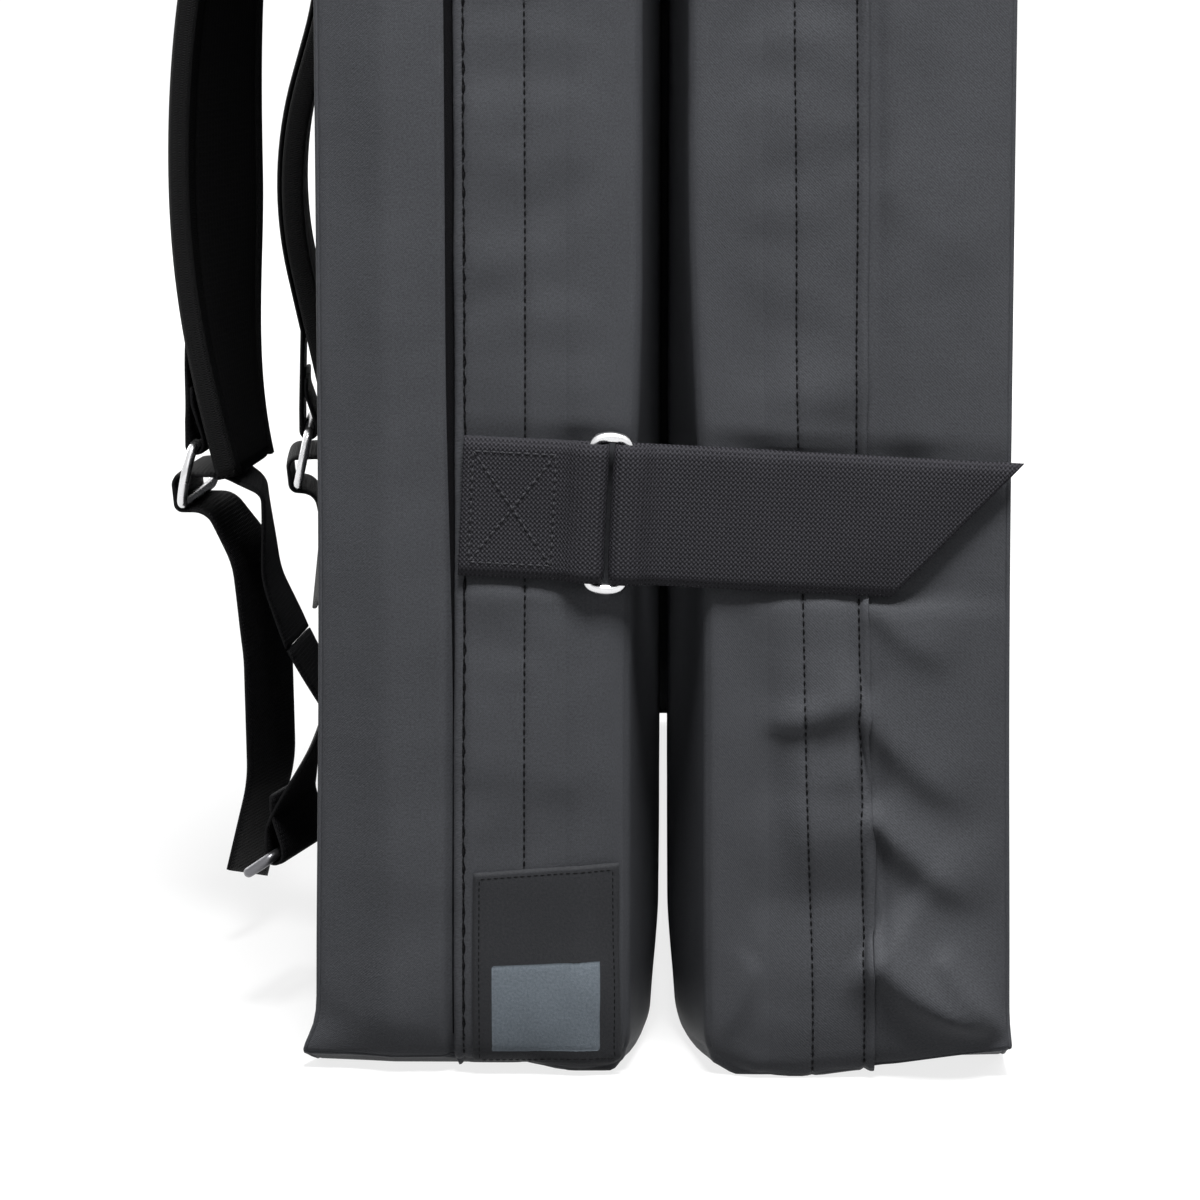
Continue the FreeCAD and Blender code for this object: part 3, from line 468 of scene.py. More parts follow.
def side_swell(side, o, y, z, crown):
    """How far the closing and hinge sides stand out: crown, waves, sag and folds."""
    mirror_z = np.minimum(z, HEIGHT - z)
    seed = SEED[side]
    waves = 1.3 * ripple(o * 1.3 + seed * 50, z, 62, seed) + 1.0 * ripple(o, z, 150, seed + 5)
    waves += 0.40 * ripple(o, z, 23, seed + 9)
    seam = smooth_step(np.minimum(o, THICK - o) / 14)
    low = bell(mirror_z - 24, 30) * smooth_step(mirror_z / 12 + 0.3)
    sag = low * smooth_step(o / 30) * smooth_step((THICK - o) / 36)
    swell = 1.6 * crown + waves * seam * 0.8 + (2.2 if side == "carry" else 5.0) * sag
    folds = fold_depth(side, o, z) + tuck(side, o, z)
    swell = swell + np.where(y < 0, folds, 0.0) * np.maximum(seam, 0.0) ** 0.3
    # Straps press the cover flat.
    across = o if side == "carry" else -GAP - o
    strap_z = STRAP_HEIGHT + across * 0.049 * np.sign(HEIGHT / 2 - z)
    held = smooth_step((32 - np.abs(mirror_z - strap_z)) / 7)
    held = held * np.where(y < 0, smooth_step((72 - across) / 6), 0.0)
    swell = swell + held * (np.minimum(swell, -0.7) - swell)
    # The hinge sides meet when the pad lies open, so they stay flat.
    return np.where(y < 0, swell, np.minimum(0.6 * swell - 1.0, 0.0))


def place(side, o, y, z, inset=0.0):
    """Box coordinates, as arrays in millimetres, to points on the sewn cover or inside it."""
    o, y, z = (np.asarray(v, dtype=float) for v in (o, y, z))
    mirror_z = np.minimum(z, HEIGHT - z)
    edge_y = HALF_WIDTH - np.abs(y)
    carry = side == "carry"
    closing = np.where(y < 0, 1.0, 0.0)
    (o2, y2, z2), (no, ny, nz) = rounded_box(side, o, y, z, inset)

    # Crown of each face, and the slow waves of foam under loose cloth.
    share = np.clip(o / THICK, 0, 1)
    crown_o = 4 * share * (1 - share)
    crown_y = smooth_step(edge_y / 110) * 0.7 + 0.3 * smooth_step(edge_y / 30)
    crown_z = smooth_step(mirror_z / 110)
    y3 = y2 + np.sign(y) * np.abs(ny) * side_swell(side, o, y, z, crown_o * crown_z)
    outer_face = o > THICK / 2
    seed = SEED[side]
    waves = 2.2 * ripple(y, z, 210, seed + 2 + outer_face) + 1.1 * ripple(y, z, 70, seed + 3 + outer_face)
    waves += 0.4 * ripple(y, z, 26, seed + 4)
    landing = 3.3 * smooth_step(edge_y / 90) * smooth_step(mirror_z / 50)
    bulge = np.where(outer_face, 1.4 * crown_y * crown_z, landing)
    face_out = bulge + waves * crown_y * crown_z * np.where(outer_face, 0.8, 0.25)
    held = np.where(outer_face, sewn_down(y, z), 0.0) if carry else 0.0
    face_out = face_out + held * (-0.3 - face_out)
    o3 = o2 + no * face_out
    z3 = z2 + np.where(z > HEIGHT / 2, 1, 0) * np.abs(nz) * 0.8 * crown_o * crown_y
    # The sewn end stands off the ground in part.
    z3 = z3 + np.where(z < HEIGHT / 2, 1, -1) * end_lift(side, o, edge_y, mirror_z)
    # Pinched outer corners, and the lower end spread by the foam's weight.
    ear = bell(np.sqrt(edge_y ** 2 + mirror_z ** 2 + (THICK - o) ** 2), 12)
    o3 = o3 + (5.2 if carry else 1.0) * ear
    y3 = y3 - 2.0 * closing * ear
    o3 = o3 + (2.6 if carry else 2.2) * bell(z, 120) * (o2 / THICK) ** 2 * (1 - held)
    # The landing face slopes back from the gap towards its closing edge, and the leaf's
    # outer edge lies a little deeper than its middle.
    o3 = o3 + closing * drawn_back(side, o, mirror_z) * np.clip(1 - edge_y / 60, 0, 1)
    if carry:
        deeper = 0.27 * np.clip(o - 93 - 3 * np.sin(z / 170.0), 0, None) + 4.5 * np.exp(-mirror_z / 20)
        y3 = y3 + closing * deeper * smooth_step((40 - edge_y) / 40)
    x = THICK / 2 - o3 if carry else THICK / 2 + GAP + o3
    return np.stack([x, y3, z3], axis=-1)


LEAD = [0.0, 0.8, 2.0, 3.6, 5.6, 8.0, 10.8, 14.0]


def spaced(start, end, pitch):
    """Values from start to end, close together near both ends."""
    steps = max(2, int(round((end - start - 2 * LEAD[-1]) / pitch)))
    middle = list(np.linspace(start + LEAD[-1], end - LEAD[-1], steps + 1))
    return [start + v for v in LEAD[:-1]] + middle + [end - v for v in reversed(LEAD[:-1])]


def cover(side):
    """The sewn cover of one panel, as one closed soft form."""
    # Columns lie closest beside the flap's hem, and rows where the deep folds are.
    os_ = sorted([v for v in spaced(0, THICK, 2.6) if not 64 < v < 80] + list(np.linspace(65, 79, 12)))
    ys = spaced(-HALF_WIDTH, HALF_WIDTH, 12)
    folded = 420
    zs = [v for v in spaced(0, 2 * folded, 3.2) if v <= folded]
    zs += list(np.linspace(folded, HEIGHT - LEAD[-1], 82))[1:] + [HEIGHT - v for v in LEAD[-2::-1]]
    axes = (os_, ys, zs)
    numbers, box, faces, coords = {}, [], [], []

    def quad(a, b, c, d, pick):
        keys = (a, b, c, d)
        for key in keys:
            if key not in numbers:
                numbers[key] = len(box)
                box.append([axis[n] for axis, n in zip(axes, key)])
        faces.append([numbers[key] for key in keys])
        coords.extend([box[numbers[key]][n] for n in pick] for key in keys)

    ni, nj, nk = len(os_) - 1, len(ys) - 1, len(zs) - 1
    for k in range(nk):
        for i in range(ni):
            quad((i, 0, k), (i + 1, 0, k), (i + 1, 0, k + 1), (i, 0, k + 1), (0, 2))
            quad((i + 1, nj, k), (i, nj, k), (i, nj, k + 1), (i + 1, nj, k + 1), (0, 2))
        for j in range(nj):
            quad((0, j + 1, k), (0, j, k), (0, j, k + 1), (0, j + 1, k + 1), (1, 2))
            quad((ni, j, k), (ni, j + 1, k), (ni, j + 1, k + 1), (ni, j, k + 1), (1, 2))
    for i in range(ni):
        for j in range(nj):
            quad((i, j + 1, 0), (i + 1, j + 1, 0), (i + 1, j, 0), (i, j, 0), (0, 1))
            quad((i, j, nk), (i + 1, j, nk), (i + 1, j + 1, nk), (i, j + 1, nk), (0, 1))
    if side == "carry":
        faces = [face[::-1] for face in faces]
        coords = [c for f in range(len(faces)) for c in coords[4 * f:4 * f + 4][::-1]]
    points = place(side, *np.array(box).T)
    made = piece(side + "_cover", points, faces, mat_cover, side + "_panel", loop_uvs=coords)
    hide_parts(side + "_cover_tray", side + "_cover_face")


def skin(side, o, z, lift, hinge=False):
    """Points on the closing or the hinge side, lifted off the cover along its normal, and the normals."""
    z = np.asarray(z, dtype=float)
    o = np.asarray(o, dtype=float)
    sign = 1 if hinge else -1

    def at(oo, zz):
        under = np.clip(-zz, 0, None) + np.clip(zz - HEIGHT, 0, None)
        return place(side, oo, sign * (HALF_WIDTH - under), np.clip(zz, 0, HEIGHT))

    step = 0.5
    normal = np.cross(at(o + step, z) - at(o - step, z), at(o, z + step) - at(o, z - step))
    normal /= np.linalg.norm(normal, axis=-1, keepdims=True) + 1e-9
    normal = normal * np.where(normal[..., 1:2] * sign < 0, -1.0, 1.0)
    return at(o, z) + normal * np.asarray(lift)[..., None], normal


def stitches(name, lines, body, thick, material=mat_thread):
    """Threads laid as short rounded bars. A line is (point function, starts, length)."""
    points, faces = [], []
    sides = 6
    shape = ((0.0, 0.35), (0.12, 0.85), (0.5, 1.0), (0.88, 0.85), (1.0, 0.35))
    for at, starts, length in lines:
        first, ups = at(starts)
        last, _ = at(starts + length)
        for a, b, up in zip(first, last, ups):
            along = b - a
            size = np.linalg.norm(along)
            if size < 0.2:
                continue
            along = along / size
            side = np.cross(up, along)
            side /= np.linalg.norm(side) + 1e-9
            lift = np.cross(along, side)
            faces += tube_faces(len(shape), sides, len(points)) + tube_caps(len(shape), sides, len(points))
            for share, radius in shape:
                centre = a + (b - a) * share + lift * (-0.5 * thick * (2 * share - 1) ** 2)
                for n in range(sides):
                    angle = 2 * math.pi * n / sides
                    points.append(centre + (side * math.cos(angle) + lift * math.sin(angle)) * thick * radius)
    return piece(name, points, faces, material, body)


def straight_run(start, end, lay, first, margin, pitch, length):
    """A line for stitches() from one place to another, where lay() gives points and normals."""
    start, end = np.array(start), np.array(end)
    size = math.dist(start, end)

    def at(t):
        return lay(*(start + (end - start) * (t / size)[:, None]).T)

    return at, np.arange(first, size - margin, pitch), length


def border(low, high):
    """The four sides of a rectangle, corner to corner."""
    corners = [low, (high[0], low[1]), high, (low[0], high[1])]
    return list(zip(corners, corners[1:] + corners[:1]))


def flap(side):
    """The lap of the tray over the leaf: a turned hem with two rows of stitches."""
    ends = [1.5, 4.0, 7.0]
    zs = np.array([-v for v in reversed(ends)] + spaced(0, HEIGHT, 3.4) + [HEIGHT + v for v in ends])
    root, inner, outer, hem = 22.0, 45.0, 66.4, 70.0
    columns_at = [root, 24, 27, 30, 34, 38, 42, 43.6, 44.4, inner, 45.6, 46.4, 48, 51, 54, 57, 60, 63, 64.8,
                  65.7, outer, 67.1, 67.8, 68.6, 69.4, 69.8, hem]
    zz, oo = np.meshgrid(zs, columns_at, indexing="ij")
    shifted = np.array([
        np.interp(columns_at, [root, inner, outer, hem], [root, *at_height])
        for at_height in zip(*line_at(side, zs))
    ])
    carry = side == "carry"
    loose = np.clip(ripple(zz, zz * 0, 46, 21.0 if carry else 31.0) + 0.25, 0, 1)
    rise = smooth_step((oo - root) / 20) * 1.9 - 0.7
    rise = rise + smooth_step((oo - outer) / 4.5) * (0.35 + 1.5 * loose * (0.5 if carry else 1.0))
    ridge = 0.45 * bell(oo - 68.9, 1.2)
    dents = -0.75 * bell(oo - outer, 0.8) - 0.7 * bell(oo - inner, 0.8)
    pucker = 0.22 * np.sin(zz * 2 * math.pi / 6.2) * (bell(oo - outer, 3.0) + bell(oo - inner, 3.0))
    top, _ = skin(side, shifted, zz, rise + ridge + dents + pucker)
    bottom, _ = skin(side, shifted, zz, rise - 1.4)
    rows, columns = zz.shape
    count = rows * columns
    points = np.concatenate([top.reshape(-1, 3), bottom.reshape(-1, 3)])
    uvs = np.stack([shifted, zz], axis=-1).reshape(-1, 2)
    faces = grid_faces(rows, columns, carry) + grid_faces(rows, columns, not carry, count)
    for a in range(columns - 1, count - 1, columns):
        face = [a, a + columns, a + columns + count, a + count]
        faces.append(face if carry else face[::-1])
    piece(side + "_flap", points, faces, mat_flap, side + "_panel",
          uvs=np.concatenate([uvs, uvs]))

    def along(which, lift):
        return lambda z: skin(side, line_at(side, z)[which], z, np.full_like(z, lift))

    starts = np.arange(2.0, HEIGHT - 2, 3.1)
    stitches(side + "_flap_stitches", [(along(0, 0.78), starts, 2.1), (along(1, 0.85), starts + 1.3, 2.1)],
             side + "_panel", thick=0.38)


def bead(name, route, radius, material, body, closed=False, sides=8):
    """A round bead along points."""
    route = np.asarray(route, dtype=float)
    count = len(route)
    lengths = run_lengths(route)
    points, uvs = [], []
    previous = None
    for i in range(count):
        ahead = route[(i + 1) % count] if closed or i + 1 < count else route[i]
        behind = route[i - 1] if closed or i > 0 else route[i]
        along = ahead - behind
        along /= np.linalg.norm(along) + 1e-9
        if previous is None:
            guess = np.array([0, 0, 1.0]) if abs(along[2]) < 0.9 else np.array([1.0, 0, 0])
            previous = np.cross(along, guess)
        across = previous - along * np.dot(previous, along)
        across /= np.linalg.norm(across) + 1e-9
        previous = across
        third = np.cross(along, across)
        for n in range(sides):
            angle = 2 * math.pi * n / sides
            points.append(route[i] + (across * math.cos(angle) + third * math.sin(angle)) * radius)
            uvs.append((n * radius, lengths[i]))
    faces = tube_faces(count, sides, closed=closed) + ([] if closed else tube_caps(count, sides))
    return piece(name, points, faces, material, body, uvs=uvs)


def welts(side):
    """The sewn edge round the outer face and across the leaf's two ends."""

    def seam(name, o, y, z, radius, closed=False):
        line = place(side, *np.broadcast_arrays(o, y, z))
        bead("%s_%s_seam" % (side, name), line, radius, mat_cover, side + "_panel",
             closed=closed)

    lead = [0, 1, 2.5, 5, 9, 14]
    ys = np.concatenate([lead, np.linspace(22, WIDTH - 22, 70), WIDTH - np.array(lead)[::-1]]) - HALF_WIDTH
    zs = np.concatenate([lead, np.linspace(20, HEIGHT - 20, 160), HEIGHT - np.array(lead)[::-1]])
    route = [(y, 0) for y in ys[:-1]] + [(HALF_WIDTH, z) for z in zs[:-1]]
    route += [(y, HEIGHT) for y in ys[:0:-1]] + [(-HALF_WIDTH, z) for z in zs[:0:-1]]
    seam("edge", THICK, *np.array(route, dtype=float).T, 0.95, closed=True)
    for end, z in (("lower", 0.0), ("upper", HEIGHT)):
        seam(end + "_closing", np.linspace(66, THICK, 40), -HALF_WIDTH, z, 0.7)
        seam(end + "_hinge", np.linspace(20, THICK, 40), HALF_WIDTH, z, 0.7)


for side in ("carry", "outer"):
    cover(side)
    flap(side)
    welts(side)


# --- Straps -----------------------------------------------------------------------------


def rounded_route(points, step=2.0, turn_step=10.0):
    """Sample straight runs joined by tangent arcs: (x, y, radius) to rows of (x, y, dx, dy)."""
    flat = [np.array(p[:2], dtype=float) for p in points]
    rows = []

    def add_line(a, b):
        size = np.linalg.norm(b - a)
        if size < 1e-6:
            return
        count = max(1, int(size / step))
        for i in range(count + 1):
            rows.append((*(a + (b - a) * i / count), *((b - a) / size)))

    start = flat[0]
    for i in range(1, len(flat) - 1):
        back = flat[i - 1] - flat[i]
        ahead = flat[i + 1] - flat[i]
        back /= np.linalg.norm(back)
        ahead /= np.linalg.norm(ahead)
        half = math.acos(np.clip(np.dot(back, ahead), -1, 1)) / 2
        radius = points[i][2]
        reach = radius / math.tan(half)
        enter = flat[i] + back * reach
        middle = back + ahead
        middle /= np.linalg.norm(middle)
        centre = flat[i] + middle * radius / math.sin(half)
        turn = math.pi - 2 * half
        if back[0] * ahead[1] - back[1] * ahead[0] > 0:
            turn = -turn
        add_line(start, enter)
        spoke = enter - centre
        count = max(2, int(abs(math.degrees(turn)) / turn_step), int(radius * abs(turn) / step))
        for n in range(count + 1):
            swing = turn * n / count
            arm = np.array([spoke[0] * math.cos(swing) - spoke[1] * math.sin(swing),
                            spoke[0] * math.sin(swing) + spoke[1] * math.cos(swing)])
            heading = np.array([-arm[1], arm[0]]) * (1 if turn > 0 else -1)
            heading = heading / np.linalg.norm(heading)
            rows.append((*(centre + arm), *heading))
        start = flat[i] + ahead * reach
    add_line(start, flat[-1])
    kept = [rows[0]]
    for row in rows[1:]:
        if math.hypot(row[0] - kept[-1][0], row[1] - kept[-1][1]) > 0.05:
            kept.append(row)
    return np.array(kept)


def band(name, centres, facings, acrosses, width, material, body, slant=0.0, cup=0.0, wave=0.0, seed=1.0):
    """A woven strap: rows of centre, facing and across vectors, swept with soft selvages.

    Slant cuts the last end askew, longer on the side that the across vectors point to.
    """
    centres = np.asarray(centres, dtype=float)
    lengths = run_lengths(centres)
    total = lengths[-1]
    columns = 12
    spots = np.linspace(-1, 1, columns + 1)
    profile = [(s, 1) for s in spots] + [(s, -1) for s in spots[::-1]]
    points, uvs = [], []
    for centre, facing, across, length in zip(centres, facings, acrosses, lengths):
        for s, face in profile:
            v, base = length, centre
            if slant:
                # The cut draws the rows back over a stretch before the end.
                stretch = 2.2 * slant
                v = length - slant * (1 - s) / 2 * smooth_step((length - (total - stretch)) / stretch)
                base = np.array([np.interp(v, lengths, centres[:, n]) for n in range(3)])
            edge = 1 - 0.45 * max(0.0, abs(s) - 0.94) / 0.06
            rim = 1 + 0.12 * bell(abs(s) - 0.93, 0.05)
            lift = face * WEB_THICK / 2 * edge * rim - cup * s * s
            if wave:
                loose = smooth_step((v - 0.42 * total) / (0.4 * total))
                lift += wave * noise.noise((v / 34, s * 0.9, seed)) * loose
            points.append(base + across * (s * width / 2) + facing * lift)
            uvs.append((s * width / 2 + width, v))
    ring = len(profile)
    faces = [[a, d, c, b] for a, b, c, d in tube_faces(len(centres), ring)]
    for start, flip in ((0, False), ((len(centres) - 1) * ring, True)):
        for n in range(columns):
            face = [start + n, start + n + 1, start + ring - 2 - n, start + ring - 1 - n]
            faces.append(face[::-1] if flip else face)
    return piece(name, points, faces, material, body, uvs=uvs)


def ring_route(spread, straight, corner, crown, step=0.6):
    """Centre line of an oval ring in its own plane: bars along v, spread along u."""
    half, bar = spread / 2, straight / 2
    crown_v = bar - math.sqrt((crown - corner) ** 2 - (half - corner) ** 2)
    lean = math.atan2(bar - crown_v, half - corner)
    bar_points = 40
    rows = [(half, -bar + straight * i / bar_points) for i in range(bar_points)]
    arcs = ((half - corner, bar, corner, 0, lean), (0, crown_v, crown, lean, math.pi - lean),
            (corner - half, bar, corner, math.pi - lean, math.pi))
    for u, v, radius, low, high in arcs:
        count = max(4, int(radius * (high - low) / step))
        for i in range(count):
            angle = low + (high - low) * i / count
            rows.append((u + radius * math.cos(angle), v + radius * math.sin(angle)))
    return rows + [(-u, -v) for u, v in rows]


def ring(name, shape, centre, across, upward, material, body, replaces):
    """A wire ring: its bars lie along 'across', its spread along 'upward'."""
    points = [centre + upward * u + across * v for u, v in ring_route(*shape)]
    made = bead(name, points, WIRE / 2, material, body, closed=True, sides=20)
    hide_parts(replaces)


# Rings are (spread, straight bar, corner radius, crown radius).
CLOSURE_RING = (12.5, 48.6, 3.0, 14.0)
SLIDER_RING = (24.0, 48.6, 5.0, 20.0)
PLAY = 0.3
BEND = WIRE / 2 + PLAY + WEB_THICK / 2

# The closures lie across the closing side, tilted a little.
TILT = math.radians(2.8)
ALONG = np.array([math.cos(TILT), 0, -math.sin(TILT)])
UPWARD = np.array([math.sin(TILT), 0, math.cos(TILT)])
OUT = np.array([0, -1.0, 0])


def flat_strap(name, route, anchor, width, body, replaces, flip=False, **options):
    """A band whose edge-on route lies in a plane across the closing side."""
    rows = rounded_route(route)
    centres = [anchor + ALONG * r[0] + OUT * -r[1] for r in rows]
    facings = [(OUT * r[2] + ALONG * r[3]) * (-1 if flip else 1) for r in rows]
    made = band(name, centres, facings, [UPWARD] * len(rows), width, mat_web, body, **options)
    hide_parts(replaces)


def closure(level, height):
    """Anchor tab, ring and strap on the closing side."""
    anchor = np.array([THICK / 2 - 15, -HALF_WIDTH, height])
    tab_length, under_length, over_length, cut = 47, 74, 142.5, 45
    # Layers by their distance from the closing side: on it, past the wire, and doubled.
    skin_y = -WEB_THICK / 2
    over, second = skin_y - 2 * BEND, -3.05
    ease, bar = 3 * BEND, CLOSURE_RING[0] / 2
    tab_end = -bar - tab_length
    # Both loops are slack, so their bends nearly meet over the middle of the ring.
    bend = BEND + 1.3
    tab = [(tab_end, skin_y, 0), (-bar + bend, skin_y, BEND), (-bar + bend, over, BEND),
           (-bar - ease / 3, over, ease), (-bar - ease, second, ease), (tab_end, second, 0)]
    # The strap's under layer sinks into the cover, which leaves the ring room to swing.
    deep = skin_y + 1.2
    strap = [(bar + under_length, deep, 0), (bar - bend, deep, BEND), (bar - bend, over, BEND),
             (bar + ease / 3, over, ease), (bar + ease, second, ease), (bar + over_length, second - 0.6, 0)]
    flat_strap(level + "_anchor_web", tab, anchor, WEB + 1.4, "carry_panel", "closure_anchor_" + level,
               cup=0.35)
    flat_strap(level + "_strap_web", strap, anchor, WEB + 1.8, "outer_panel", "closure_strap_" + level,
               flip=True, slant=cut, wave=1.6, seed=4.0 + height / 500, cup=-0.3)
    ring(level + "_closure_wire", CLOSURE_RING, anchor + OUT * (WEB_THICK + WIRE / 2 + PLAY), UPWARD, ALONG,
         mat_wire, "closure_ring_" + level, "closure_ring_" + level)

    def on_tab(a, b):
        top = 2 * WEB_THICK + 0.25
        point = anchor + ALONG * a[:, None] + UPWARD * b[:, None] + OUT * top
        return point, np.repeat(OUT[None, :], len(point), axis=0)

    # Box and cross stitches through the tab.
    low, high = (tab_end + 3.65, -20.3), (-bar - 13.55, 20.3)
    cross = [(low, high), ((high[0], low[1]), (low[0], high[1]))]
    lines = [straight_run(*run, on_tab, 0.3, 2.0, 3.0, 2.2) for run in border(low, high) + cross]
    stitches(level + "_anchor_stitches", lines, "carry_panel", thick=0.45,
             material=mat_strap_thread)


closure("lower", STRAP_HEIGHT)
closure("upper", HEIGHT - STRAP_HEIGHT)


# --- Harness on the outer face of the carry panel ---------------------------------------
# Routes are (out, height, corner radius, turn) as in the CAD model: out from the outer face,
# turn in degrees about the strap's upright swing axis.

UP = np.array([0, 0, 1.0])


class Strap:
    """The upright axis that a strap swings about, and places along the strap."""

    def __init__(self, place_y, pivot_out, inward):
        self.place_y = place_y
        self.pivot_out = pivot_out
        self.inward = inward

    def directions(self, turn):
        angle = math.radians(turn) * self.inward
        return (np.array([-math.cos(angle), math.sin(angle), 0.0]),
                np.array([math.sin(angle), math.cos(angle), 0.0]))

    def point(self, out, height, turn):
        axis = np.array([-THICK / 2 - self.pivot_out, self.place_y, height])
        return axis + self.directions(turn)[0] * (out - self.pivot_out)

    def frames(self, rows, outwards=False):
        """Centre, facing and across vectors of each row, turned to face outwards if asked."""
        made = []
        for out, height, d_out, d_height, turn in rows:
            outward, across = self.directions(turn)
            facing = outward * -d_height + UP * d_out
            if outwards and np.dot(facing, outward) < 0:
                facing = -facing
            made.append((self.point(out, height, turn), facing, across))
        return zip(*made)


def harness_rows(points, step=3.0):
    """Sample a harness route: rows of out, height, d_out, d_height, turn."""
    rows = rounded_route([p[:3] for p in points], step=step, turn_step=9)
    lengths = run_lengths(rows[:, :2])
    marks = [lengths[np.argmin(np.hypot(rows[:, 0] - p[0], rows[:, 1] - p[1]))] for p in points]
    turns = []
    for length in lengths:
        value = points[-1][3]
        for i in range(len(marks) - 1):
            if length <= marks[i + 1]:
                share = smooth_step((length - marks[i]) / max(marks[i + 1] - marks[i], 1e-9))
                value = points[i][3] + (points[i + 1][3] - points[i][3]) * share
                break
        turns.append(value)
    return np.column_stack([rows, turns])


def ribbon(name, strap, rows, body, replaces, **options):
    """A dark strap of the harness."""
    made = band(name, *strap.frames(rows), WEB, mat_dark_web, body, **options)
    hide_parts(replaces)


def shoulder_pad(name, strap, rows, width, thick, body, replaces):
    """Foam pad: woven face, mesh back and bound edges, pinched where the binding is sewn."""
    sides = 22
    points, uvs = [], []
    centres, facings, acrosses = strap.frames(rows, outwards=True)
    lengths = run_lengths(centres)
    total = np.sum(np.hypot(np.diff(rows[:, 0]), np.diff(rows[:, 1])))
    for centre, facing, across, length in zip(centres, facings, acrosses, lengths):
        tip = math.sin(min(1.0, min(length, total - length) / 14 + 0.12) * math.pi / 2)
        for n in range(sides):
            angle = 2 * math.pi * n / sides
            c, s = math.cos(angle), math.sin(angle)
            wide = math.copysign(abs(c) ** 0.55, c)
            high = math.copysign(abs(s) ** 0.75, s)
            swell = 1 + 0.05 * noise.noise((length / 22, wide, 3.0))
            sideways = across * wide * (width / 2) * (0.86 + 0.14 * tip)
            points.append(centre + sideways + facing * high * thick / 2 * swell * (0.35 + 0.65 * tip))
            uvs.append((wide * width / 2 + width, length))
    count = len(rows)
    faces = tube_faces(count, sides) + tube_caps(count, sides)
    made = piece(name, points, faces, mat_pad, body, uvs=uvs)
    made.data.materials.append(mat_mesh)
    # The half of the tube that faces the body is mesh.
    inside = [int(n < (count - 1) * sides and n % sides >= sides // 2) for n in range(len(faces))]
    made.data.polygons.foreach_set("material_index", inside)
    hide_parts(replaces)
    # Folded tape over each edge.
    shape = [(0.0, 4.3), (0.9, 4.5), (1.6, 3.0), (1.9, 0.0), (1.6, -3.0), (0.9, -4.5), (0.0, -4.3),
             (-4.2, -4.9), (-4.4, -4.2), (0.0, 0.0), (-4.4, 4.2), (-4.2, 4.9)]
    for label, sign in (("near", -1), ("far", 1)):
        edge = [centre + across * sign * (width / 2 - 0.8) for centre, across in zip(centres, acrosses)]
        points, uvs = [], []
        for centre, facing, across, length in zip(edge, facings, acrosses, run_lengths(edge)):
            for n, (a, b) in enumerate(shape):
                points.append(centre + across * sign * a + facing * b)
                uvs.append((n * 1.5, length))
        piece("%s_%s_binding" % (name, label), points, tube_faces(count, len(shape)), mat_bind,
              body, uvs=uvs)


NEAR = {
    "pad": [(22, 534, 0, 8), (70, 308, 520, 24)],
    "pad_end": (-16.5, 5, 0, 9),
    "leave": 40, "ring_out": 60.5, "ring_height": 194, "ring_lean": 12, "ring_turn": 8,
    "low_pivot_height": 124, "low_turn": 6,
    "run": [(-28, -44, 40, 3), (-25.5, -7, 7, -3), (-12, 0.5, 12, 2)],
    "tail": [(-7, -15, 9, 9), (-19, -35, 30, 14), (-25, -74, 60, 18), (-26, -124, 60, 18),
             (-13, -175, 0, 18)],
    "top_sewn": 650, "top_leave": 606, "low_sewn": 46, "low_leave": 84,
}
FAR = {
    "pad": [(16, 505, 0, 2), (20, 368, 150, 2), (42.5, 290, 170, 2)],
    "pad_end": (-16, 12, 0, 2),
    "leave": 44, "ring_out": 34, "ring_height": 166, "ring_lean": 12, "ring_turn": 2,
    "low_pivot_height": 95, "low_turn": 2,
    "run": [(-16, -41, 60, 2), (-19, -13, 8, 2), (-11, 0.5, 10, 2)],
    "tail": [(-5, -16, 7, 3), (-8, -38, 30, 6), (-4, -76, 0, 6)],
    "top_sewn": 620, "top_leave": 576, "low_sewn": 26, "low_leave": 62,
}
FAR_HANG = [(5, -20, 20, 0), (7, -52, 40, 0), (11, -78, 0, 0)]


def measured_from(centre, points):
    return [(centre[0] + out, centre[1] + height, bend, turn) for out, height, bend, turn in points]


def ring_bar(centre, lean, spread, which=1):
    reach = spread / 2 * which
    return centre[0] - reach * math.sin(math.radians(lean)), centre[1] + reach * math.cos(math.radians(lean))


def loop_round_bar(bar, turn):
    out, height = bar
    doubled = out + BEND - WEB_THICK - 0.2
    return [(out + BEND, height + 3 * BEND, 3 * BEND, turn), (out + BEND, height - BEND, BEND, turn),
            (out - BEND, height - BEND, BEND, turn), (out - BEND, height + BEND, 3 * BEND, turn),
            (doubled, height + 5 * BEND, 3 * BEND, turn), (doubled, height + 7 * BEND, 0, turn)]


def place_ring(name, strap, shape, centre, turn, lean, material, body, replaces):
    outward, across = strap.directions(turn)
    upward = UP * math.cos(math.radians(lean)) - outward * math.sin(math.radians(lean))
    ring(name, shape, strap.point(*centre, turn), across, upward, material, body, replaces)


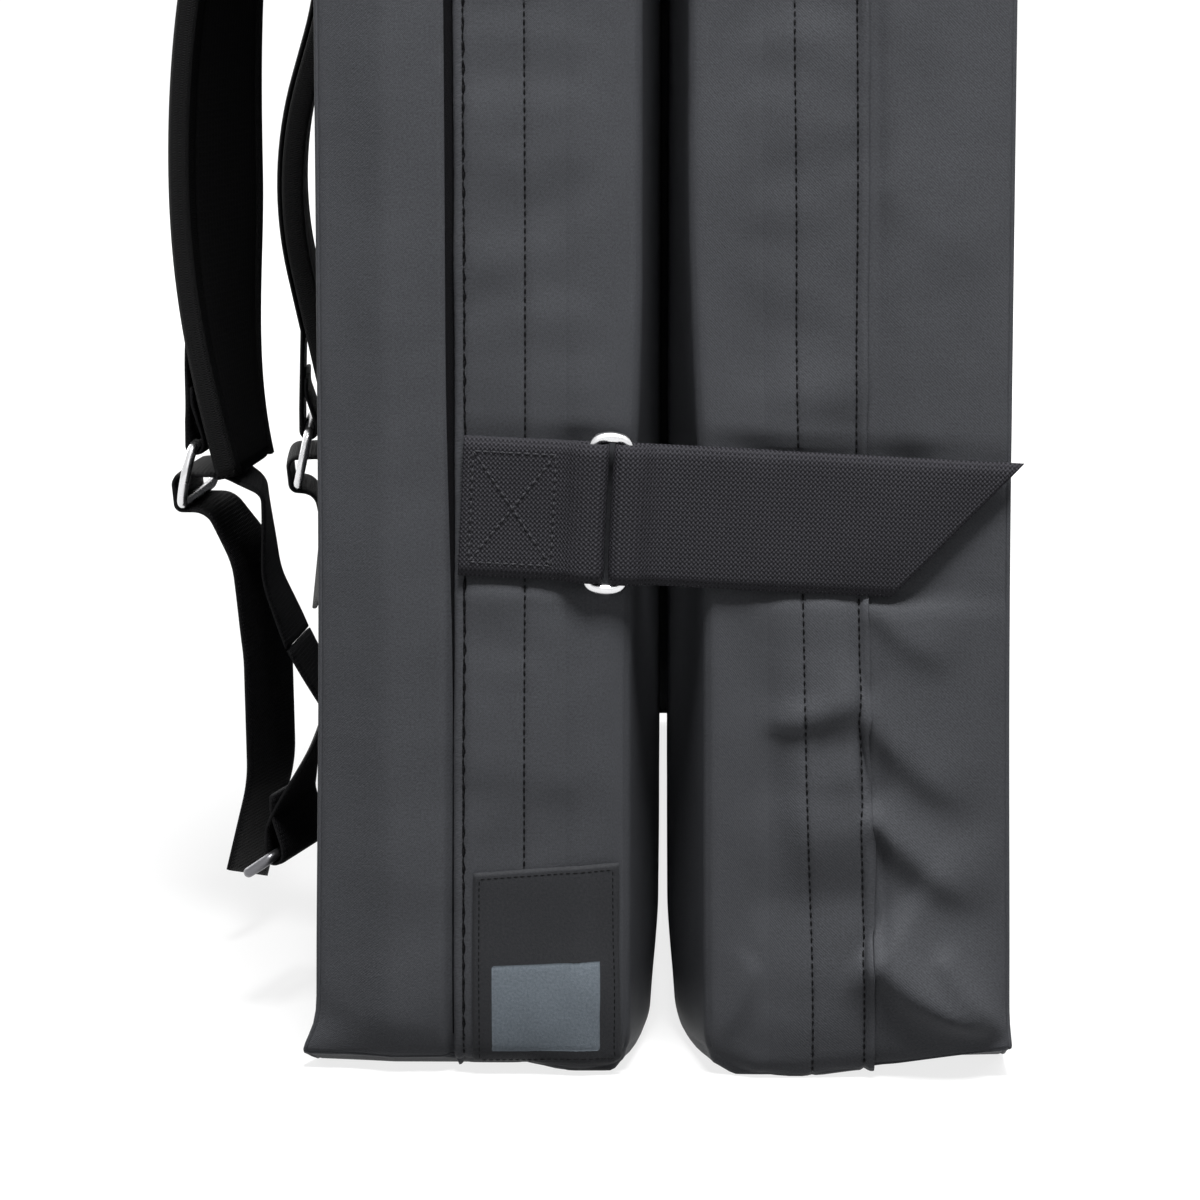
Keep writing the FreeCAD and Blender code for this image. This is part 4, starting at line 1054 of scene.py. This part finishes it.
def shoulder(side, strap, shape):
    """One shoulder strap: pad, webbing along it, sliding ring, adjuster and both sewn roots."""
    body = side + "_shoulder"
    pad_width, pad_thick = 62, 10
    shift = pad_thick / 2 + WEB_THICK / 2 + 0.2
    centre = (shape["ring_out"], shape["ring_height"])
    lean, turn, spread = shape["ring_lean"], shape["ring_turn"], SLIDER_RING[0]
    pad_rows = harness_rows(shape["pad"] + measured_from(centre, [shape["pad_end"]]), step=5)
    padding = pad_rows.copy()
    padding[0, :2] += 0.9 * padding[0, 2:4]
    shoulder_pad(side + "_pad", strap, padding, pad_width, pad_thick, body, side + "_shoulder_pad")
    upper = ring_bar(centre, lean, spread)
    on_pad = [(r[0] + shift * abs(r[3]), r[1] + shift * r[2], r[2], r[3], r[4])
              for r in pad_rows if r[1] > upper[1] + shape["leave"]]
    lower = [(on_pad[-1][0], on_pad[-1][1], 0, on_pad[-1][4])] + loop_round_bar(upper, turn)
    web_rows = on_pad[:-1] + [tuple(r) for r in harness_rows(lower, step=2)]
    ribbon(side + "_web", strap, web_rows, body, side + "_shoulder_web")
    place_ring(side + "_slider", strap, SLIDER_RING, centre, turn, lean, mat_wire, body,
               side + "_shoulder_ring")
    low_out, low_height = ring_bar(centre, lean, spread, -1)
    adjuster = [(strap.pivot_out + 0.25, shape["low_pivot_height"] + 0.9, 0, shape["low_turn"])]
    adjuster += measured_from(centre, shape["run"])
    adjuster += [(low_out + BEND + 1.5, low_height + 3.5 * BEND, 1.3 * BEND, turn),
                 (low_out + BEND, low_height - BEND, BEND, turn)]
    adjuster += measured_from(centre, shape["tail"])
    ribbon(side + "_adjuster", strap, harness_rows(adjuster, step=2.5), body, side + "_adjuster_web",
           slant=14, cup=0.3)
    first = pad_rows[0]
    roots = {
        "upper": [(1, shape["top_sewn"], 0, 0), (1, shape["top_leave"], 60, 0),
                  (first[0] + shift / abs(first[3]), first[1] + PLAY, 0, shape["pad"][0][3])],
        "lower": [(1, shape["low_sewn"], 0, 0), (1, shape["low_leave"], 20, 0),
                  (strap.pivot_out, shape["low_pivot_height"], 0, shape["low_turn"])],
    }
    for end, root in roots.items():
        ribbon(side + "_root_" + end, strap, harness_rows(root), "carry_panel", side + "_strap_root_" + end)


shoulder("near", Strap(-115, 22, 1), NEAR)
shoulder("far", Strap(115, 16, -1), FAR)


def belt():
    """Both waist belt webs, and the ring on the near one."""
    near, far = Strap(-220, 6, 1), Strap(220, 6, -1)
    for side, strap in (("near", near), ("far", far)):
        root = [(1, 160, 0, 0), (1, 122, 12, 0), (6, 112, 0, 0)]
        ribbon(side + "_belt_tab", strap, harness_rows(root), "carry_panel", side + "_belt_root")
    centre = (22.3, 60.0)
    lean, turn = 55.0, 16.0
    hang = [(6, 111.7, 0, 0)] + loop_round_bar(ring_bar(centre, lean, CLOSURE_RING[0]), turn)
    ribbon("near_belt_strap", near, harness_rows(hang, step=2), "near_belt", "near_belt_web")
    place_ring("belt_wire", near, CLOSURE_RING, centre, turn, lean, mat_dull, "belt_ring", "belt_ring")
    hang = [(6.1, 111.2, 0, 0)] + measured_from((6, 112), FAR_HANG)
    ribbon("far_belt_strap", far, harness_rows(hang), "far_belt", "far_belt_web", slant=14)


belt()


def handle():
    """The haul handle, an arch of webbing across the outer face."""
    sewn, top = -THICK / 2 - WEB_THICK / 2, -THICK / 2 - 38
    rows = rounded_route([(sewn, -120, 0), (sewn, -75, 19), (top, -37, 38), (top, 37, 38),
                          (sewn, 75, 19), (sewn, 120, 0)])
    centres = [(r[0], r[1], HEIGHT - 100) for r in rows]
    facings = [np.array([-r[3], r[2], 0.0]) for r in rows]
    made = band("haul_grip", centres, facings, [UP] * len(rows), WEB, mat_dark_web, "carry_panel", cup=0.5)
    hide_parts("haul_handle")


handle()


# --- Label and the dark band beside the flap's hem ----------------------------------------


def laid_sheet(name, side, across, below, coords, height, under_height, material):
    """A thin sheet with its edges, open below, on the cover's closing side."""
    top, _ = skin(side, across, below, height)
    under, _ = skin(side, across, below, np.full_like(across, under_height))
    rows, columns = across.shape
    count = rows * columns
    points = np.concatenate([top.reshape(-1, 3), under.reshape(-1, 3)])
    uvs = np.stack(coords, axis=-1).reshape(-1, 2)
    faces = grid_faces(rows, columns, True)
    faces += [[a, b, b + count, a + count] for a, b in rim_pairs(rows, columns)]
    return piece(name, points, faces, material, side + "_panel", uvs=np.concatenate([uvs, uvs]))


def hem_dark_band():
    """A near-black strip in the hook tape's material beside the carry panel's flap: a dark band along the
    hem, 2 to 4.7 mm wide past it and wider up the panel.
    """
    zz, share = np.meshgrid(np.linspace(12, HEIGHT - 12, 200), np.linspace(0, 1, 7), indexing="ij")
    # The strip lies 3 mm under the hem and shows 2 to 4.7 mm past it, widest up the panel.
    hidden, shows = 3, 2.0 + 2.7 * smooth_step((zz - 120) / 160)
    oo = line_at("carry", zz)[2] - hidden + share * (hidden + shows)
    fuzz = 0.12 * ripple(oo, zz, 2.4, 77.0)
    laid_sheet("carry_tape_edge", "carry", oo, zz, (oo, zz), 0.7 + fuzz, -0.4, mat_tape)


hem_dark_band()


def label():
    """A plain sewn patch with a stitched border and an empty printed panel."""
    low_o, high_o = 11.0, 64.0
    low_z, high_z = 10.0, 82.0
    lift = 3.0

    def straight(oo, zz):
        """Places on the cover that come out square, but for the patch's slanting top."""
        wanted = zz + (high_o - oo) * 0.07 * smooth_step((zz - low_z) / (high_z - low_z)) - 4.6
        across, below = oo, wanted
        for _ in range(12):
            across = oo - drawn_back("carry", across, np.maximum(below, 0.0))
            below = wanted - end_lift("carry", oo, 0.0, np.maximum(below, 0.0))
        return np.maximum(across, 0.5), below

    def sheet(name, os_, zs, lift, material, thick, hem):
        zz, oo = np.meshgrid(zs, os_, indexing="ij")
        across, below = straight(oo, zz)
        edge = np.minimum(np.minimum(oo - os_[0], os_[-1] - oo), np.minimum(zz - zs[0], zs[-1] - zz))
        height = lift - 0.35 * bell(edge, 0.7) - hem * bell(edge - 2.2, 0.6)
        return laid_sheet(name, "carry", across, below, (oo, zz), height, lift - thick, material)

    made = sheet("label", np.linspace(low_o, high_o, 40), np.linspace(low_z, high_z, 52), lift,
                 mat_label, 2.0, 0.3)
    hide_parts("label_patch")
    sheet("label_print", np.linspace(low_o + 6.4, high_o - 5.8, 24),
          np.linspace(low_z + 4.2, low_z + 38.2, 20), lift + 0.15, mat_print, 0.3, 0.0)

    def on_label(oo, zz):
        return skin("carry", *straight(oo, zz), np.full_like(oo, lift - 0.15))

    inset = 2.2
    edges = border((low_o + inset, low_z + inset), (high_o - inset, high_z - inset))
    lines = [straight_run(*edge, on_label, 0.4, 1.8, 2.4, 1.8) for edge in edges]
    stitches("label_stitches", lines, "carry_panel", thick=0.28)


label()


# --- Hinge side -------------------------------------------------------------------------


def hinge():
    """One strip of fabric down the hinge side of both panels, sewn at both edges."""
    reach, margin = 46.0, 4
    landing = (THICK / 2, THICK / 2 + GAP)
    xs = np.concatenate([np.linspace(landing[0] - reach, landing[0] - 4, 16),
                         np.linspace(landing[0] - 2.5, landing[1] + 2.5, 9),
                         np.linspace(landing[1] + 4, landing[1] + reach, 16)])
    zz, xx = np.meshgrid(np.linspace(margin, HEIGHT - margin, 152), xs, indexing="ij")
    sheets = []
    for lift, bridge in ((1.4, 2.4), (0.1, 1.2)):
        # Bridged over the gap, and laid on the cover of each panel.
        depth = HALF_WIDTH + bridge + 0.3 * ripple(zz / 40, xx / 9, 1, 2.0)
        sheet = np.stack([xx, depth, zz], axis=-1)
        for side, o in (("carry", landing[0] - xx), ("outer", xx - landing[1])):
            laid, _ = skin(side, np.maximum(o, 9.0), zz, np.full_like(zz, lift), hinge=True)
            laid[..., 0] = xx
            laid[..., 1] += np.where(o < 9, 0.6, 0.0)
            sheet = np.where((o >= 0)[..., None], laid, sheet)
        sheets.append(sheet.reshape(-1, 3))
    rows, columns = zz.shape
    count = rows * columns
    faces = grid_faces(rows, columns, True) + grid_faces(rows, columns, False, count)
    faces += [[b, a, a + count, b + count] for a, b in rim_pairs(rows, columns)]
    uvs = np.stack([xx, zz], axis=-1).reshape(-1, 2)
    made = piece("hinge_strip", np.concatenate(sheets), faces, mat_hinge,
                 uvs=np.concatenate([uvs, uvs]))
    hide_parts("hinge_web")
    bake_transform(made)


hinge()


# --- Foam inside the covers ---------------------------------------------------------------


def foam_sheet(side, layer, low_o, high_o, material):
    """One sheet of a panel's foam, bent with the cover round it."""
    inset = 5.0
    edge = inset + 0.5
    axes = (np.linspace(low_o, high_o, 6), spaced(edge - HALF_WIDTH, HALF_WIDTH - edge, 45),
            spaced(edge, HEIGHT - edge, 60))
    points, faces = [], []
    for fixed in range(3):
        for end in (0, -1):
            parts = np.meshgrid(*[axis for n, axis in enumerate(axes) if n != fixed])
            parts.insert(fixed, np.full_like(parts[0], axes[fixed][end]))
            outwards = (fixed, end) in ((0, 0), (1, -1), (2, 0))
            faces += grid_faces(*parts[0].shape, outwards == (side == "outer"), sum(len(p) for p in points))
            points.append(place(side, *parts, inset=inset).reshape(-1, 3))
    made = piece("%s_%s_sheet" % (side, layer), np.concatenate(points), faces, material,
                 side + "_panel")
    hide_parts("%s_%s_foam" % (side, layer))


for side in ("carry", "outer"):
    foam_sheet(side, "landing", 5.0, 21.0, mat_closed)
    foam_sheet(side, "core", 21.5, 105.0, mat_open)
    foam_sheet(side, "backing", 105.5, 115.5, mat_closed)

for name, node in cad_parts.items():
    if name.endswith("_tape"):
        node.data.materials.clear()
        node.data.materials.append(mat_tape)


# --- Floor, light and camera --------------------------------------------------------------


def stage():
    """A floor that looks white and keeps the object's shadow, in a white studio."""
    mesh = bpy.data.meshes.new("floor")
    far = 30.0
    mesh.from_pydata([(-far, -far, 0), (far, -far, 0), (far, far, 0), (-far, far, 0)], [], [[0, 1, 2, 3]])
    floor = bpy.data.objects.new("floor", mesh)
    bpy.context.collection.objects.link(floor)
    g = Graph("floor_white")
    g.feed(g.shader, Base_Color=(0.20, 0.20, 0.20, 1), Roughness=0.9, Specular_IOR_Level=0.1)
    # The glow that is seen reaches white away from the object.
    distance = g.feed(g.node("VectorMath", operation="LENGTH"), g.coords["Object"]).outputs["Value"]
    glow = g.feed(g.node("Emission"), Strength=g.spread(distance, 0.80, 1.0, 0.7, 2.2)).outputs[0]
    black = g.feed(g.node("Emission"), Strength=0.0).outputs[0]
    chosen = g.feed(g.node("MixShader"), g.seen(), black, glow).outputs[0]
    total = g.feed(g.node("AddShader"), g.shader.outputs[0], chosen).outputs[0]
    g.feed(g.tree.nodes["Material Output"], Surface=total)
    mesh.materials.append(g.material)

    world = bpy.data.worlds.new("studio")
    bpy.context.scene.world = world
    world.use_nodes = True
    w = Nodes(world.node_tree)
    w.feed(w.tree.nodes["Background"], Color=(1, 1, 1, 1), Strength=w.spread(w.seen(), 0.08, 1.0))


def aim(thing, place_at, target):
    bpy.context.collection.objects.link(thing)
    thing.location = place_at
    thing.rotation_euler = (Vector(target) - Vector(place_at)).to_track_quat("-Z", "Y").to_euler()


def lamp(name, size, power, place_at, target):
    data = bpy.data.lights.new(name, "AREA")
    data.shape = "RECTANGLE"
    data.size, data.size_y = size
    data.energy = power
    aim(bpy.data.objects.new(name, data), place_at, target)


stage()
lamp("key", (0.7, 0.7), 112, (0.18, -1.15, 2.35), (0.05, -0.3, 0.3))
lamp("front", (1.2, 1.2), 3, (-0.5, -2.9, 1.4), (0.05, -0.3, 0.4))
lamp("fill", (1.4, 2.2), 2, (2.2, -1.2, 1.0), (0.05, -0.2, 0.4))
lamp("back", (1.6, 1.6), 80, (0.7, 1.9, 2.2), (0.05, 0.2, 0.4))
lamp("harness_side", (1.4, 1.8), 30, (-2.1, 1.7, 1.4), (-0.06, 0.0, 0.5))
lamp("outer_side", (1.4, 1.8), 30, (2.3, 1.5, 1.4), (0.19, 0.0, 0.5))

camera = bpy.data.objects.new("camera", bpy.data.cameras.new("camera"))
aim(camera, (0.065, -2.255, 0.530), (0.042, -0.325, 0.1785))
camera.data.sensor_width = 36
camera.data.lens = 162.3
camera.data.clip_start = 0.05
bpy.context.scene.camera = camera
bpy.context.scene.view_settings.view_transform = "Standard"
